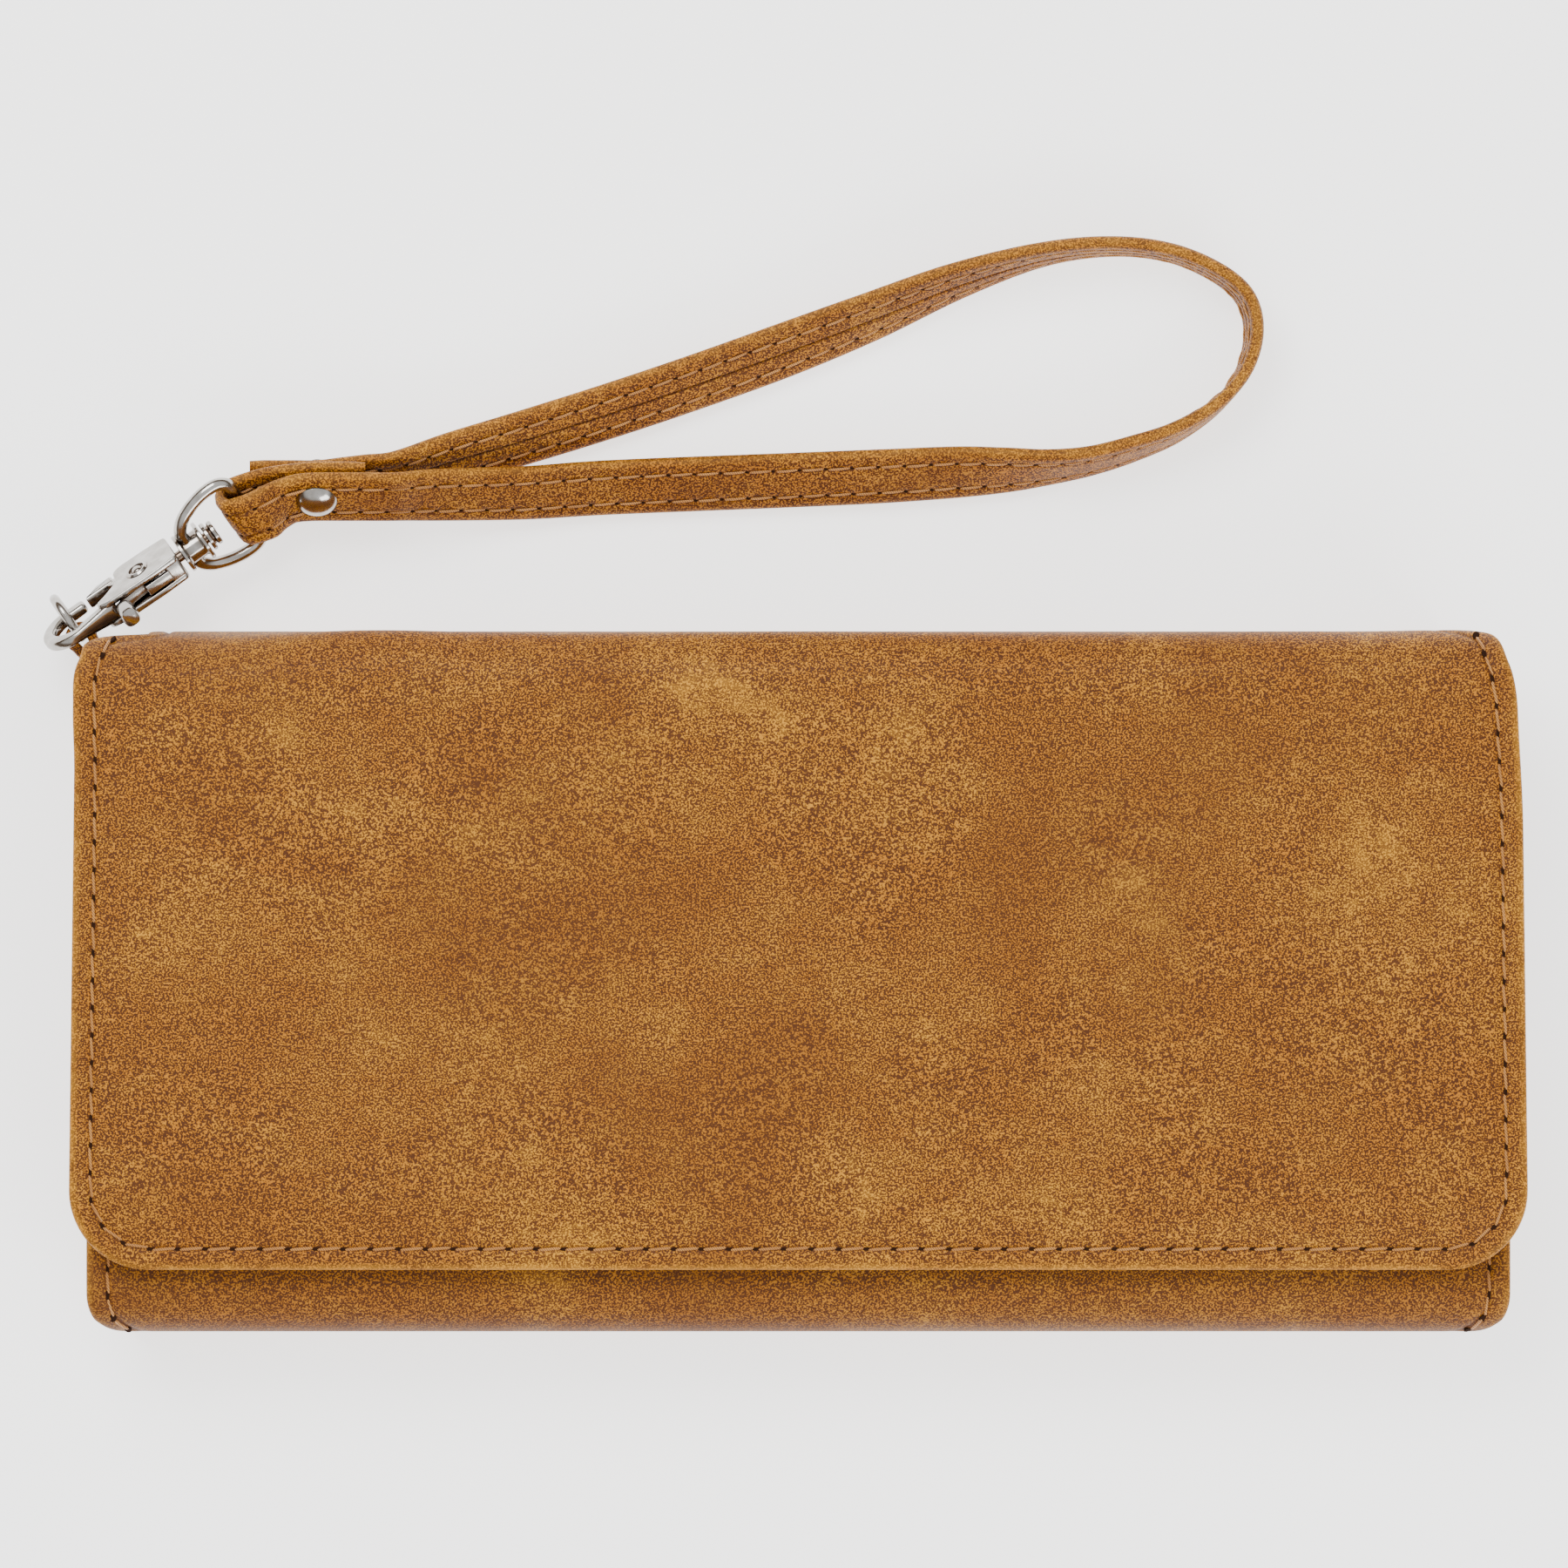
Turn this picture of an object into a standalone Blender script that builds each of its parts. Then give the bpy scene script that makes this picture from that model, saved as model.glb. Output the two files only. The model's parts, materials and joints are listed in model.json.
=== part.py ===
"""Wristlet clutch wallet with a clip-on wrist strap.

The wallet lies on its back: +X along its length, +Y towards the top fold, +Z
out of the flap.  The origin is the centre of the flat back face.  Lengths in
the constants are millimetres; MM turns them into metres.
"""
import math

import bmesh
import bpy
from mathutils import Matrix, Vector

MM = 0.001
GAP = 0.3               # between pieces that touch
ARC_STEPS = 6           # segments in a quarter turn of an outline's corner

# Wallet outline
TOP_Y = 50.2            # outer face of the top fold
BOTTOM_Y = -50.5        # outer face of the bottom fold
THICKNESS = 26.0
BACK_HALF_X = 103.5
FLAP_HALF_X_TOP = 103.6
FLAP_HALF_X_BOTTOM = 104.8
FLAP_BOTTOM_Y = -41.5
FLAP_CORNER = 11.6
TOP_CORNER = (6.0, 9.8)
BOTTOM_CORNER = (5.0, 8.5)
FRONT_HALF_X = 102.4
FRONT_TOP_Y = 40.0
FRONT_Z = 20.2          # outer face of the front panel
TOP_SPINE_HALF_X = 93.5
BOTTOM_SPINE_HALF_X = 96.5

# Sheet materials
SKIN = 1.0
BOARD = 0.8
LINING = 0.5
CARD_SHEET = 0.5
EDGE_INSET = 4.0        # board inside the skin's edge
LINING_INSET = 1.2
CREASE_CLEAR = 6.0      # board and lining stop this far from a moving crease
SPINE_CLEAR = SKIN + GAP

# Card pockets, as stepped sheets on the inside of the back and of the front
CARD_HALF_X = 90.0
CARD_TIER_TOPS = (34.0, 24.0, 14.0)
CARD_BOTTOM_Y = -44.0
BACK_CARD_Z = 3.2
FRONT_CARD_Z = 17.0

# Coin pouch and its zip, along the pouch's top edge
POUCH_HALF_X = 91.0
POUCH_BOTTOM_Y = -40.0
POUCH_TOP_Y = 28.5
POUCH_BACK_Z = 7.3
POUCH_FRONT_Z = 10.2
ZIP_Z = 9.0
TAPE = 0.5
TAPE_LOW_Y = 22.0
TAPE_HIGH_Y = 30.5
CHAIN_HALF_X = 84.0
CHAIN_Y = (30.8, 32.6)
CHAIN_HALF_Z = 1.5
STOP_LENGTH = 2.0
SLIDER_X = 78.0
SLIDER_HALF_X = 4.5
SLIDER_HALF_Z = 3.4
SLIDER_Y = (29.4, 33.8)
CHANNEL_HALF_Z = 1.9
CHANNEL_Y = (30.4, 33.0)
THROAT_HALF_Z = 1.2
PIN_Y = 36.1            # cross pin that holds the pull
PIN_R = 0.6
LUG_Z = (0.9, 1.7)
PULL_LENGTH = 10.5
PULL_EYE_R = 1.9
PULL_HOLE_R = 0.9
PULL_HALF_Z = 0.6

# Side gussets: a W fold between the back and the front
GUSSET_X = (95.0, 99.4)
GUSSET_Z = (3.6, 16.8)
GUSSET_Y = (-46.0, 36.0)
GUSSET_SHEET = 0.6

# Press stud
STUD_Y = -30.0
SOCKET_R = 6.5
SOCKET_HOLE_R = 2.6
SOCKET_Z = (20.5, 21.9)
STUD_R = 2.2
STUD_DISC_Z = (22.0, 22.8)
STUD_LOW_Z = 20.9

# Clip: the swivel's axis lies flat, HEADING degrees from +X, and the hook's
# plate is rolled about it so that its thumb knob faces up
HEADING = 35.0
ROLL = 65.0
BOSS_CENTRE = Vector((-87.06, 62.4, 10.0))
BOSS_HALF = 2.0
BOSS_R = 1.85
FLANGE_R = 2.8
FLANGE = 0.6
BORE_R = 1.2
SWIVEL_PIN_R = 0.85
COLLAR_L = (2.4, 5.0)
COLLAR_R = 2.7
BODY_L = (4.6, 14.6)
BODY_W = (-6.2, 3.65)       # nose side, thumb side
BODY_HALF_N = 2.1
SLOT_L = (5.4, 13.6)
SLOT_HALF_N = 1.15
HOOK_R = 1.3
HOOK_EYE = (20.8, -2.4)     # centre of the hook's bend
HOOK_BEND_R = 3.9
NOSE_L = 17.5
OPENING_L = 11.7
GATE_PIVOT_L = 8.6
GATE_HALF_N = 0.8
GATE_BAR_HALF_N = 1.6
GATE_BAR_HALF_W = 1.1
GATE_TIP_SLANT = 2.3    # lets the outer corner swing in past the nose
GATE_TIP_L = 17.1
KNOB_L = (12.0, 14.2)
KNOB_W = (4.2, 9.0)
KNOB_HALF_N = 1.6
PIVOT_PIN_R = 0.65
PIVOT_HOLE_R = 1.0

# Swivel loop: one wire bent round to a bar, rolled about the swivel's axis
LOOP_ROLL = 42.0
LOOP_WIRE_R = 0.85
BAR_DISTANCE = 9.2
LOOP_SIDE = ((-0.6, 1.5), (-0.4, 3.4), (1.2, 5.2), (4.2, 6.5), (7.0, 6.8), (8.6, 6.2), (BAR_DISTANCE, 5.0))

# Ring on the wallet: a D of wire whose straight side runs through the tab
RING_WIRE_R = 0.55
RING_R = 3.35
RING_STRAIGHT = 1.9
RING_OFFSET = 1.4       # tunnel to the swivel's axis, seen from above
RING_Z = 5.0
TAB_Z = (3.2, 6.8)
TAB_SHEET = 1.5
TAB_LEG = 7.5

# Wrist strap
STRAP_WIDTH = 9.6
STRAP_SHEET = 1.8
STRAP_PITCH = STRAP_SHEET + GAP
WRAP_R = LOOP_WIRE_R + GAP + 0.1 + STRAP_SHEET / 2
TWIST_DELAY = 1.6       # the strip stays square to the bar this far past it
STACK_TILT = 48.0
RIVET_CENTRE = Vector((-69.3, 70.4, 9.6))
RIVET_R = 2.95
RIVET_BACK_R = 1.8
RIVET_HOLE_R = 1.3
RIVET_POST_R = 0.95
TAB_END_X = -62.3
STACK_FLAT_X = -72.6    # the stack is flat from here on, under the rivet
WRAP_STEPS = 12
TAB_XS = (TAB_END_X, -66.0, -69.3, STACK_FLAT_X, -75.0, -77.4)          # rows of the tab
LEG_XS = (-77.3, -75.0, STACK_FLAT_X, -69.3, -66.0, TAB_END_X, -58.0)   # rows of the leg above it
END_XS = (-58.0, TAB_END_X, -66.0, -69.3, STACK_FLAT_X, -79.0)          # rows of the far end
END_SLIP = 2.0          # how far the far end slips down beside the others
END_SLIP_RUN = 11.3
STRAP_LIFT = 0.4        # strap's lowest edge above the surface it lies on
# x, y and roll of the free loop, from the rivet out and back to it; the roll
# turns the outer face from straight up towards the outside of the loop
LOOP_COURSE = (
    (-52.0, 69.9, 43.0), (-39.5, 70.2, 41.0), (-27.0, 71.0, 39.0), (-2.0, 72.0, 39.0),
    (12.0, 72.6, 40.0), (23.0, 73.2, 44.0), (30.0, 73.5, 53.0), (36.0, 73.9, 64.0),
    (42.0, 74.8, 71.0), (48.0, 76.5, 75.0), (54.5, 79.0, 81.0), (60.5, 83.0, 88.0),
    (64.3, 88.0, 94.0), (65.6, 93.5, 98.0), (64.4, 98.3, 99.0), (60.4, 101.9, 98.0),
    (53.5, 104.8, 97.0), (45.0, 105.7, 98.0), (35.0, 104.5, 103.0), (23.0, 100.8, 117.0),
    (10.4, 95.6, 132.0), (-2.0, 90.8, 140.0), (-14.5, 86.3, 141.0), (-27.0, 82.1, 141.0),
    (-39.5, 78.2, 140.0), (-49.5, 75.3, 137.0),
)
COURSE_LIFTS = ((0, 3.0), (1, 0.8), (-1, 0.6))      # rises towards the rivet

# Swatches: colour, roughness, metallic
FINISHES = {
    "leather": ((0.40, 0.19, 0.055), 0.62, 0.0),
    "lining": ((0.33, 0.22, 0.12), 0.90, 0.0),
    "board": ((0.50, 0.43, 0.33), 0.95, 0.0),
    "nickel": ((0.80, 0.79, 0.76), 0.16, 1.0),
    "zip_tape": ((0.22, 0.13, 0.06), 0.92, 0.0),
    "zip_metal": ((0.72, 0.66, 0.52), 0.28, 1.0),
    "spring_steel": ((0.55, 0.55, 0.56), 0.30, 1.0),
}


# ---------------------------------------------------------------- helpers

def clear_scene():
    for item in list(bpy.data.objects):
        bpy.data.objects.remove(item, do_unlink=True)


def make_collection(name):
    group = bpy.data.collections.new(name)
    bpy.context.scene.collection.children.link(group)
    return group


def finish(slot):
    """The material of a slot, made the first time it is asked for."""
    found = bpy.data.materials.get(slot)
    if found:
        return found
    colour, roughness, metallic = FINISHES[slot]
    made = bpy.data.materials.new(slot)
    made.use_nodes = True
    shader = made.node_tree.nodes["Principled BSDF"]
    shader.inputs["Base Color"].default_value = (*colour, 1.0)
    shader.inputs["Roughness"].default_value = roughness
    shader.inputs["Metallic"].default_value = metallic
    return made


def add_object(name, data, slot, group):
    item = bpy.data.objects.new(name, data)
    group.objects.link(item)
    data.materials.append(finish(slot))
    return item


def baked(item):
    """Replace an object by the plain closed mesh that it evaluates to."""
    bpy.context.view_layer.update()
    graph = bpy.context.evaluated_depsgraph_get()
    mesh = bpy.data.meshes.new_from_object(item.evaluated_get(graph))
    work = bmesh.new()
    work.from_mesh(mesh)
    bmesh.ops.remove_doubles(work, verts=work.verts, dist=0.000002)
    bmesh.ops.recalc_face_normals(work, faces=work.faces)
    work.to_mesh(mesh)
    work.free()
    name = item.name
    group = item.users_collection[0]
    place = item.matrix_world.copy()
    bpy.data.objects.remove(item, do_unlink=True)
    made = bpy.data.objects.new(name, mesh)
    group.objects.link(made)
    made.matrix_world = place
    return made


def move_origin(item, point):
    """Put an unrotated object's origin at a point, without moving its shape."""
    item.data.transform(Matrix.Translation(item.location - point))
    item.location = point


def boolean(item, cutter, operation):
    cut = item.modifiers.new(operation.title(), "BOOLEAN")
    cut.operation = operation
    cut.solver = "EXACT"
    cut.object = cutter
    cutter.hide_render = True
    cutter.display_type = "WIRE"
    for group in cutter.users_collection:
        group.objects.unlink(cutter)
    CUTTERS.objects.link(cutter)


def soften(item, width, segments=1, angle=35.0):
    bevel = item.modifiers.new("Bevel", "BEVEL")
    bevel.width = width * MM
    bevel.segments = segments
    bevel.limit_method = "ANGLE"
    bevel.angle_limit = math.radians(angle)


def smooth(item, angle=35.0):
    item.data.shade_smooth()
    item.data.set_sharp_from_angle(angle=math.radians(angle))


def arc(centre, radii, start, end, steps=ARC_STEPS):
    """Points on an elliptical arc between two angles in degrees."""
    points = []
    for step in range(steps + 1):
        angle = math.radians(start + (end - start) * step / steps)
        points.append((centre[0] + radii[0] * math.cos(angle), centre[1] + radii[1] * math.sin(angle)))
    return points


def rounded_outline(half_low, half_high, low, high, corner_low, corner_high):
    """A symmetric panel, half_low wide at its low edge, with rounded corners."""
    right = arc((half_low - corner_low[0], low + corner_low[1]), corner_low, -90, 0)
    right += arc((half_high - corner_high[0], high - corner_high[1]), corner_high, 0, 90)
    left = [(-x, y) for x, y in reversed(right)]
    return right + left


def plate(name, outline, low, high, slot):
    """A flat sheet in the XY plane between two heights."""
    curve = bpy.data.curves.new(name, "CURVE")
    curve.dimensions = "2D"
    curve.fill_mode = "BOTH"
    curve.extrude = (high - low) / 2 * MM
    line = curve.splines.new("POLY")
    line.points.add(len(outline) - 1)
    for place, (x, y) in zip(line.points, outline):
        place.co = (x * MM, y * MM, 0, 1)
    line.use_cyclic_u = True
    item = add_object(name, curve, slot, PARTS)
    item.location.z = (low + high) / 2 * MM
    return baked(item)


def block(name, low, high, slot):
    """A box between two corners."""
    bpy.ops.mesh.primitive_cube_add(size=1)
    item = bpy.context.object
    item.name = name
    for group in item.users_collection:
        group.objects.unlink(item)
    PARTS.objects.link(item)
    item.data.materials.append(finish(slot))
    size = [(b - a) * MM for a, b in zip(low, high)]
    centre = [(a + b) / 2 * MM for a, b in zip(low, high)]
    item.data.transform(Matrix.Translation(centre) @ Matrix.Diagonal((*size, 1.0)))
    return item


def turned(name, profile, slot, steps=24):
    """A solid turned about Z from (radius, height) points, top to bottom."""
    mesh = bpy.data.meshes.new(name)
    points = [(r * MM, 0, z * MM) for r, z in profile]
    mesh.from_pydata(points, [(i, i + 1) for i in range(len(points) - 1)], [])
    item = add_object(name, mesh, slot, PARTS)
    screw = item.modifiers.new("Screw", "SCREW")
    screw.steps = steps
    screw.render_steps = steps
    screw.use_merge_vertices = True
    screw.merge_threshold = 0.00001
    return baked(item)


def smooth_path(points, steps):
    """Catmull-Rom points through a route, with a number of steps a span."""
    ends = [2 * points[0] - points[1]] + list(points) + [2 * points[-1] - points[-2]]
    path = []
    for before, start, end, after in zip(ends, ends[1:], ends[2:], ends[3:]):
        for step in range(steps):
            t = step / steps
            path.append(0.5 * (2 * start + (end - before) * t
                               + (2 * before - 5 * start + 4 * end - after) * t ** 2
                               + (3 * start - before - 3 * end + after) * t ** 3))
    path.append(points[-1].copy())
    return path


def wire(name, points, radius, slot, closed=False, resolution=3):
    """A round wire along points in millimetres."""
    curve = bpy.data.curves.new(name, "CURVE")
    curve.dimensions = "3D"
    curve.bevel_depth = radius * MM
    curve.bevel_resolution = resolution
    curve.use_fill_caps = not closed
    line = curve.splines.new("POLY")
    line.points.add(len(points) - 1)
    for place, point in zip(line.points, points):
        place.co = (*(point * MM), 1)
    line.use_cyclic_u = closed
    return baked(add_object(name, curve, slot, PARTS))


def ribbon(name, centres, widths, thickness, slot):
    """A strip through centre points, with a width vector at each one."""
    work = bmesh.new()
    rows = []
    for centre, width in zip(centres, widths):
        rows.append([work.verts.new((centre + side * width / 2) * MM) for side in (-1, 0, 1)])
    for first, second in zip(rows, rows[1:]):
        for column in (0, 1):
            work.faces.new((first[column], second[column], second[column + 1], first[column + 1]))
    mesh = bpy.data.meshes.new(name)
    work.to_mesh(mesh)
    work.free()
    item = add_object(name, mesh, slot, PARTS)
    shell = item.modifiers.new("Solidify", "SOLIDIFY")
    shell.thickness = thickness * MM
    shell.offset = 0
    return item


# ---------------------------------------------------------------- wallet shell

def build_back():
    outline = rounded_outline(BACK_HALF_X - 0.8, BACK_HALF_X, BOTTOM_Y + SPINE_CLEAR,
                              TOP_Y - SPINE_CLEAR, BOTTOM_CORNER, TOP_CORNER)
    plate("back_skin", outline, 0, SKIN, "leather")
    board_low = SKIN + GAP
    half = BACK_HALF_X - EDGE_INSET
    outline = rounded_outline(half, half, BOTTOM_Y + EDGE_INSET, TOP_Y - EDGE_INSET, (4, 4), (4, 4))
    plate("back_board", outline, board_low, board_low + BOARD, "board")
    lining_low = board_low + BOARD + GAP
    half = BACK_HALF_X - LINING_INSET
    outline = rounded_outline(half, half, BOTTOM_Y + 2 * SPINE_CLEAR, TOP_Y - 2 * SPINE_CLEAR,
                              BOTTOM_CORNER, TOP_CORNER)
    plate("back_lining", outline, lining_low, lining_low + LINING, "lining")


def build_spine(name, outer_y, inward, half_x, low, high):
    """The wall at a fold: leather outside and a lining strip inside."""
    inner_y = outer_y + inward * SKIN
    skin = block(name + "_skin", (-half_x, min(outer_y, inner_y), low),
                 (half_x, max(outer_y, inner_y), high), "leather")
    soften(skin, 0.25)
    near = inner_y + inward * GAP
    far = near + inward * LINING
    block(name + "_lining", (-half_x, min(near, far), low + 2.0), (half_x, max(near, far), high - 2.0),
          "lining")


def build_front():
    skin_low = FRONT_Z - SKIN
    outline = rounded_outline(FRONT_HALF_X - 0.4, FRONT_HALF_X, BOTTOM_Y, FRONT_TOP_Y,
                              BOTTOM_CORNER, (5, 5))
    plate("front_skin", outline, skin_low, FRONT_Z, "leather")
    board_high = skin_low - GAP
    half = FRONT_HALF_X - EDGE_INSET
    low = BOTTOM_Y + CREASE_CLEAR
    outline = rounded_outline(half, half, low, FRONT_TOP_Y - EDGE_INSET, (4, 4), (4, 4))
    plate("front_board", outline, board_high - BOARD, board_high, "board")
    lining_high = board_high - BOARD - GAP
    half = FRONT_HALF_X - LINING_INSET
    outline = rounded_outline(half, half, low, FRONT_TOP_Y - LINING_INSET, (5, 5), (5, 5))
    plate("front_lining", outline, lining_high - LINING, lining_high, "lining")


def build_flap():
    skin_low = THICKNESS - SKIN
    corner = (FLAP_CORNER, FLAP_CORNER)
    outline = rounded_outline(FLAP_HALF_X_BOTTOM, FLAP_HALF_X_TOP, FLAP_BOTTOM_Y, TOP_Y, corner, TOP_CORNER)
    plate("flap_skin", outline, skin_low, THICKNESS, "leather")
    board_high = skin_low - GAP
    inner = (FLAP_CORNER - EDGE_INSET, FLAP_CORNER - EDGE_INSET)
    high = TOP_Y - CREASE_CLEAR
    outline = rounded_outline(FLAP_HALF_X_BOTTOM - EDGE_INSET, FLAP_HALF_X_TOP - EDGE_INSET,
                              FLAP_BOTTOM_Y + EDGE_INSET, high, inner, (4, 4))
    plate("flap_board", outline, board_high - BOARD, board_high, "board")
    lining_high = board_high - BOARD - GAP
    outline = rounded_outline(FLAP_HALF_X_BOTTOM - LINING_INSET, FLAP_HALF_X_TOP - LINING_INSET,
                              FLAP_BOTTOM_Y + LINING_INSET, high, corner, (5, 5))
    plate("flap_lining", outline, lining_high - LINING, lining_high, "lining")


def build_card_pockets():
    """Three stepped sheets on each side, the tallest next to the lining."""
    step = CARD_SHEET + GAP
    for tier, top in enumerate(CARD_TIER_TOPS):
        outline = rounded_outline(CARD_HALF_X, CARD_HALF_X, CARD_BOTTOM_Y, top, (2, 2), (3, 3))
        low = BACK_CARD_Z + tier * step
        plate(f"back_card_pocket_{tier + 1}", outline, low, low + CARD_SHEET, "lining")
        high = FRONT_CARD_Z - tier * step
        plate(f"front_card_pocket_{tier + 1}", outline, high - CARD_SHEET, high, "lining")


def build_gusset(name, side):
    """A pleated side wall, folded inwards twice."""
    inner, outer = GUSSET_X
    low, high = GUSSET_Z
    fold = []
    for step in range(5):
        x = outer if step % 2 == 0 else inner
        fold.append((side * x, low + (high - low) * step / 4))
    work = bmesh.new()
    rows = [[work.verts.new((x * MM, y * MM, z * MM)) for x, z in fold] for y in GUSSET_Y]
    for a, b, c, d in zip(rows[0], rows[0][1:], rows[1][1:], rows[1]):
        work.faces.new((a, b, c, d))
    mesh = bpy.data.meshes.new(name)
    work.to_mesh(mesh)
    work.free()
    item = add_object(name, mesh, "leather", PARTS)
    shell = item.modifiers.new("Solidify", "SOLIDIFY")
    shell.thickness = GUSSET_SHEET * MM
    shell.offset = 0


# ---------------------------------------------------------------- coin pouch and zip

def build_pouch():
    for name, low in (("coin_pouch_back", POUCH_BACK_Z), ("coin_pouch_front", POUCH_FRONT_Z)):
        outline = rounded_outline(POUCH_HALF_X, POUCH_HALF_X, POUCH_BOTTOM_Y, POUCH_TOP_Y, (5, 5), (2, 2))
        plate(name, outline, low, low + LINING, "lining")
    tape_back = POUCH_BACK_Z + LINING + GAP
    tape_front = POUCH_FRONT_Z - GAP - TAPE
    for name, low in (("zip_tape_back", tape_back), ("zip_tape_front", tape_front)):
        block(name, (-CHAIN_HALF_X - STOP_LENGTH, TAPE_LOW_Y, low),
              (CHAIN_HALF_X + STOP_LENGTH, TAPE_HIGH_Y, low + TAPE), "zip_tape")


def build_chain():
    low, high = CHAIN_Y
    chain = block("zip_chain", (-CHAIN_HALF_X, low, ZIP_Z - CHAIN_HALF_Z),
                  (CHAIN_HALF_X, high, ZIP_Z + CHAIN_HALF_Z), "zip_metal")
    soften(chain, 0.4)
    for name, side in (("zip_stop_left", -1), ("zip_stop_right", 1)):
        near = side * (CHAIN_HALF_X + GAP)
        far = near + side * STOP_LENGTH
        stop = block(name, (min(near, far), low, ZIP_Z - CHAIN_HALF_Z - GAP),
                     (max(near, far), high + GAP, ZIP_Z + CHAIN_HALF_Z + GAP), "zip_metal")
        soften(stop, 0.4)


def build_slider():
    """A channel over the chain, open below for the tapes, with lugs and a pin."""
    low, high = SLIDER_Y
    slider = block("zip_slider", (SLIDER_X - SLIDER_HALF_X, low, ZIP_Z - SLIDER_HALF_Z),
                   (SLIDER_X + SLIDER_HALF_X, high, ZIP_Z + SLIDER_HALF_Z), "zip_metal")
    soften(slider, 0.7, 2)
    slider = baked(slider)
    reach = SLIDER_HALF_X + 1
    channel = block("slider_channel", (SLIDER_X - reach, CHANNEL_Y[0], ZIP_Z - CHANNEL_HALF_Z),
                    (SLIDER_X + reach, CHANNEL_Y[1], ZIP_Z + CHANNEL_HALF_Z), "zip_metal")
    throat = block("slider_throat", (SLIDER_X - reach, low - 1, ZIP_Z - THROAT_HALF_Z),
                   (SLIDER_X + reach, CHANNEL_Y[0] + 0.5, ZIP_Z + THROAT_HALF_Z), "zip_metal")
    boolean(slider, channel, "DIFFERENCE")
    boolean(slider, throat, "DIFFERENCE")
    for side in (-1, 1):
        inner, outer = LUG_Z
        ends = sorted((ZIP_Z + side * inner, ZIP_Z + side * outer))
        lug = block(f"slider_lug_{side}", (SLIDER_X - 1.3, high - 0.5, ends[0]),
                    (SLIDER_X + 1.3, PIN_Y + 1.2, ends[1]), "zip_metal")
        boolean(slider, lug, "UNION")
    reach_z = LUG_Z[1] - 0.3
    pin = wire("slider_pin", [Vector((SLIDER_X, PIN_Y, ZIP_Z - reach_z)),
                              Vector((SLIDER_X, PIN_Y, ZIP_Z + reach_z))], PIN_R, "zip_metal")
    boolean(slider, pin, "UNION")
    slider = baked(slider)
    move_origin(slider, Vector((SLIDER_X, PIN_Y, ZIP_Z)) * MM)


def build_pull():
    """A short tongue with an eye round the slider's cross pin."""
    tail_x = SLIDER_X - PULL_LENGTH
    outline = arc((SLIDER_X, PIN_Y), (PULL_EYE_R, PULL_EYE_R), -145, 145, 12)
    outline += [(SLIDER_X - 3.4, PIN_Y + 1.0), (SLIDER_X - 5.0, PIN_Y + 1.5)]
    outline += arc((tail_x + 1.5, PIN_Y), (1.5, 1.5), 90, 270)
    outline += [(SLIDER_X - 5.0, PIN_Y - 1.5), (SLIDER_X - 3.4, PIN_Y - 1.0)]
    pull = plate("zip_pull", outline, ZIP_Z - PULL_HALF_Z, ZIP_Z + PULL_HALF_Z, "zip_metal")
    hole = wire("pull_hole", [Vector((SLIDER_X, PIN_Y, ZIP_Z - 2)), Vector((SLIDER_X, PIN_Y, ZIP_Z + 2))],
                PULL_HOLE_R, "zip_metal")
    boolean(pull, hole, "DIFFERENCE")
    pull = baked(pull)
    move_origin(pull, Vector((SLIDER_X, PIN_Y, ZIP_Z)) * MM)


# ---------------------------------------------------------------- press stud

def build_press_stud():
    low, high = SOCKET_Z
    ring = [(SOCKET_HOLE_R, high), (SOCKET_R - 1.6, high), (SOCKET_R, low + 0.4), (SOCKET_R, low),
            (SOCKET_HOLE_R, low), (SOCKET_HOLE_R, high)]
    socket = turned("snap_socket", ring, "nickel")
    socket.location = (0, STUD_Y * MM, 0)
    low, high = STUD_DISC_Z
    nub = [(0, high), (SOCKET_R, high), (SOCKET_R, high - 0.3), (SOCKET_R - 0.5, low), (STUD_R, low),
           (STUD_R, STUD_LOW_Z + 0.4), (STUD_R - 0.4, STUD_LOW_Z), (0, STUD_LOW_Z)]
    stud = turned("snap_stud", nub, "nickel")
    stud.location = (0, STUD_Y * MM, 0)
    for item in (socket, stud):
        smooth(item)


# ---------------------------------------------------------------- clip

def flat_vector(degrees):
    angle = math.radians(degrees)
    return Vector((math.cos(angle), math.sin(angle), 0))


SWIVEL_AXIS = flat_vector(HEADING)                  # from the hook to the strap
LEFT = flat_vector(HEADING + 90)
UP = Vector((0, 0, 1))
ROLL_COS = math.cos(math.radians(ROLL))
ROLL_SIN = math.sin(math.radians(ROLL))
PLATE_NORMAL = ROLL_COS * UP + ROLL_SIN * LEFT
PLATE_WIDTH = ROLL_SIN * UP - ROLL_COS * LEFT
CLIP_AXES = Matrix((-SWIVEL_AXIS, PLATE_WIDTH, PLATE_NORMAL)).transposed().to_4x4()

LOOP_BAR = (Matrix.Rotation(math.radians(LOOP_ROLL), 3, SWIVEL_AXIS) @ -LEFT).normalized()
LOOP_AXES = Matrix((SWIVEL_AXIS, LOOP_BAR, SWIVEL_AXIS.cross(LOOP_BAR))).transposed().to_4x4()
BAR_CENTRE = BOSS_CENTRE + BAR_DISTANCE * SWIVEL_AXIS
TUNNEL = BOSS_CENTRE - HOOK_EYE[0] * SWIVEL_AXIS - RING_OFFSET * LEFT
TUNNEL.z = RING_Z


def place(item, axes, pivot):
    """Set a mesh drawn in boss-centred axes in the world, its origin at pivot."""
    item.data.transform(Matrix.Translation(-pivot * MM))
    item.matrix_world = Matrix.Translation((BOSS_CENTRE + axes.to_3x3() @ pivot) * MM) @ axes


def along_x(item):
    """Turn a mesh made about Z so that it runs along X."""
    item.data.transform(Matrix.Rotation(math.radians(90), 4, "Y"))
    return item


HOOK_PIVOT = Vector((HOOK_EYE[0], HOOK_EYE[1], 0))


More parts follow.
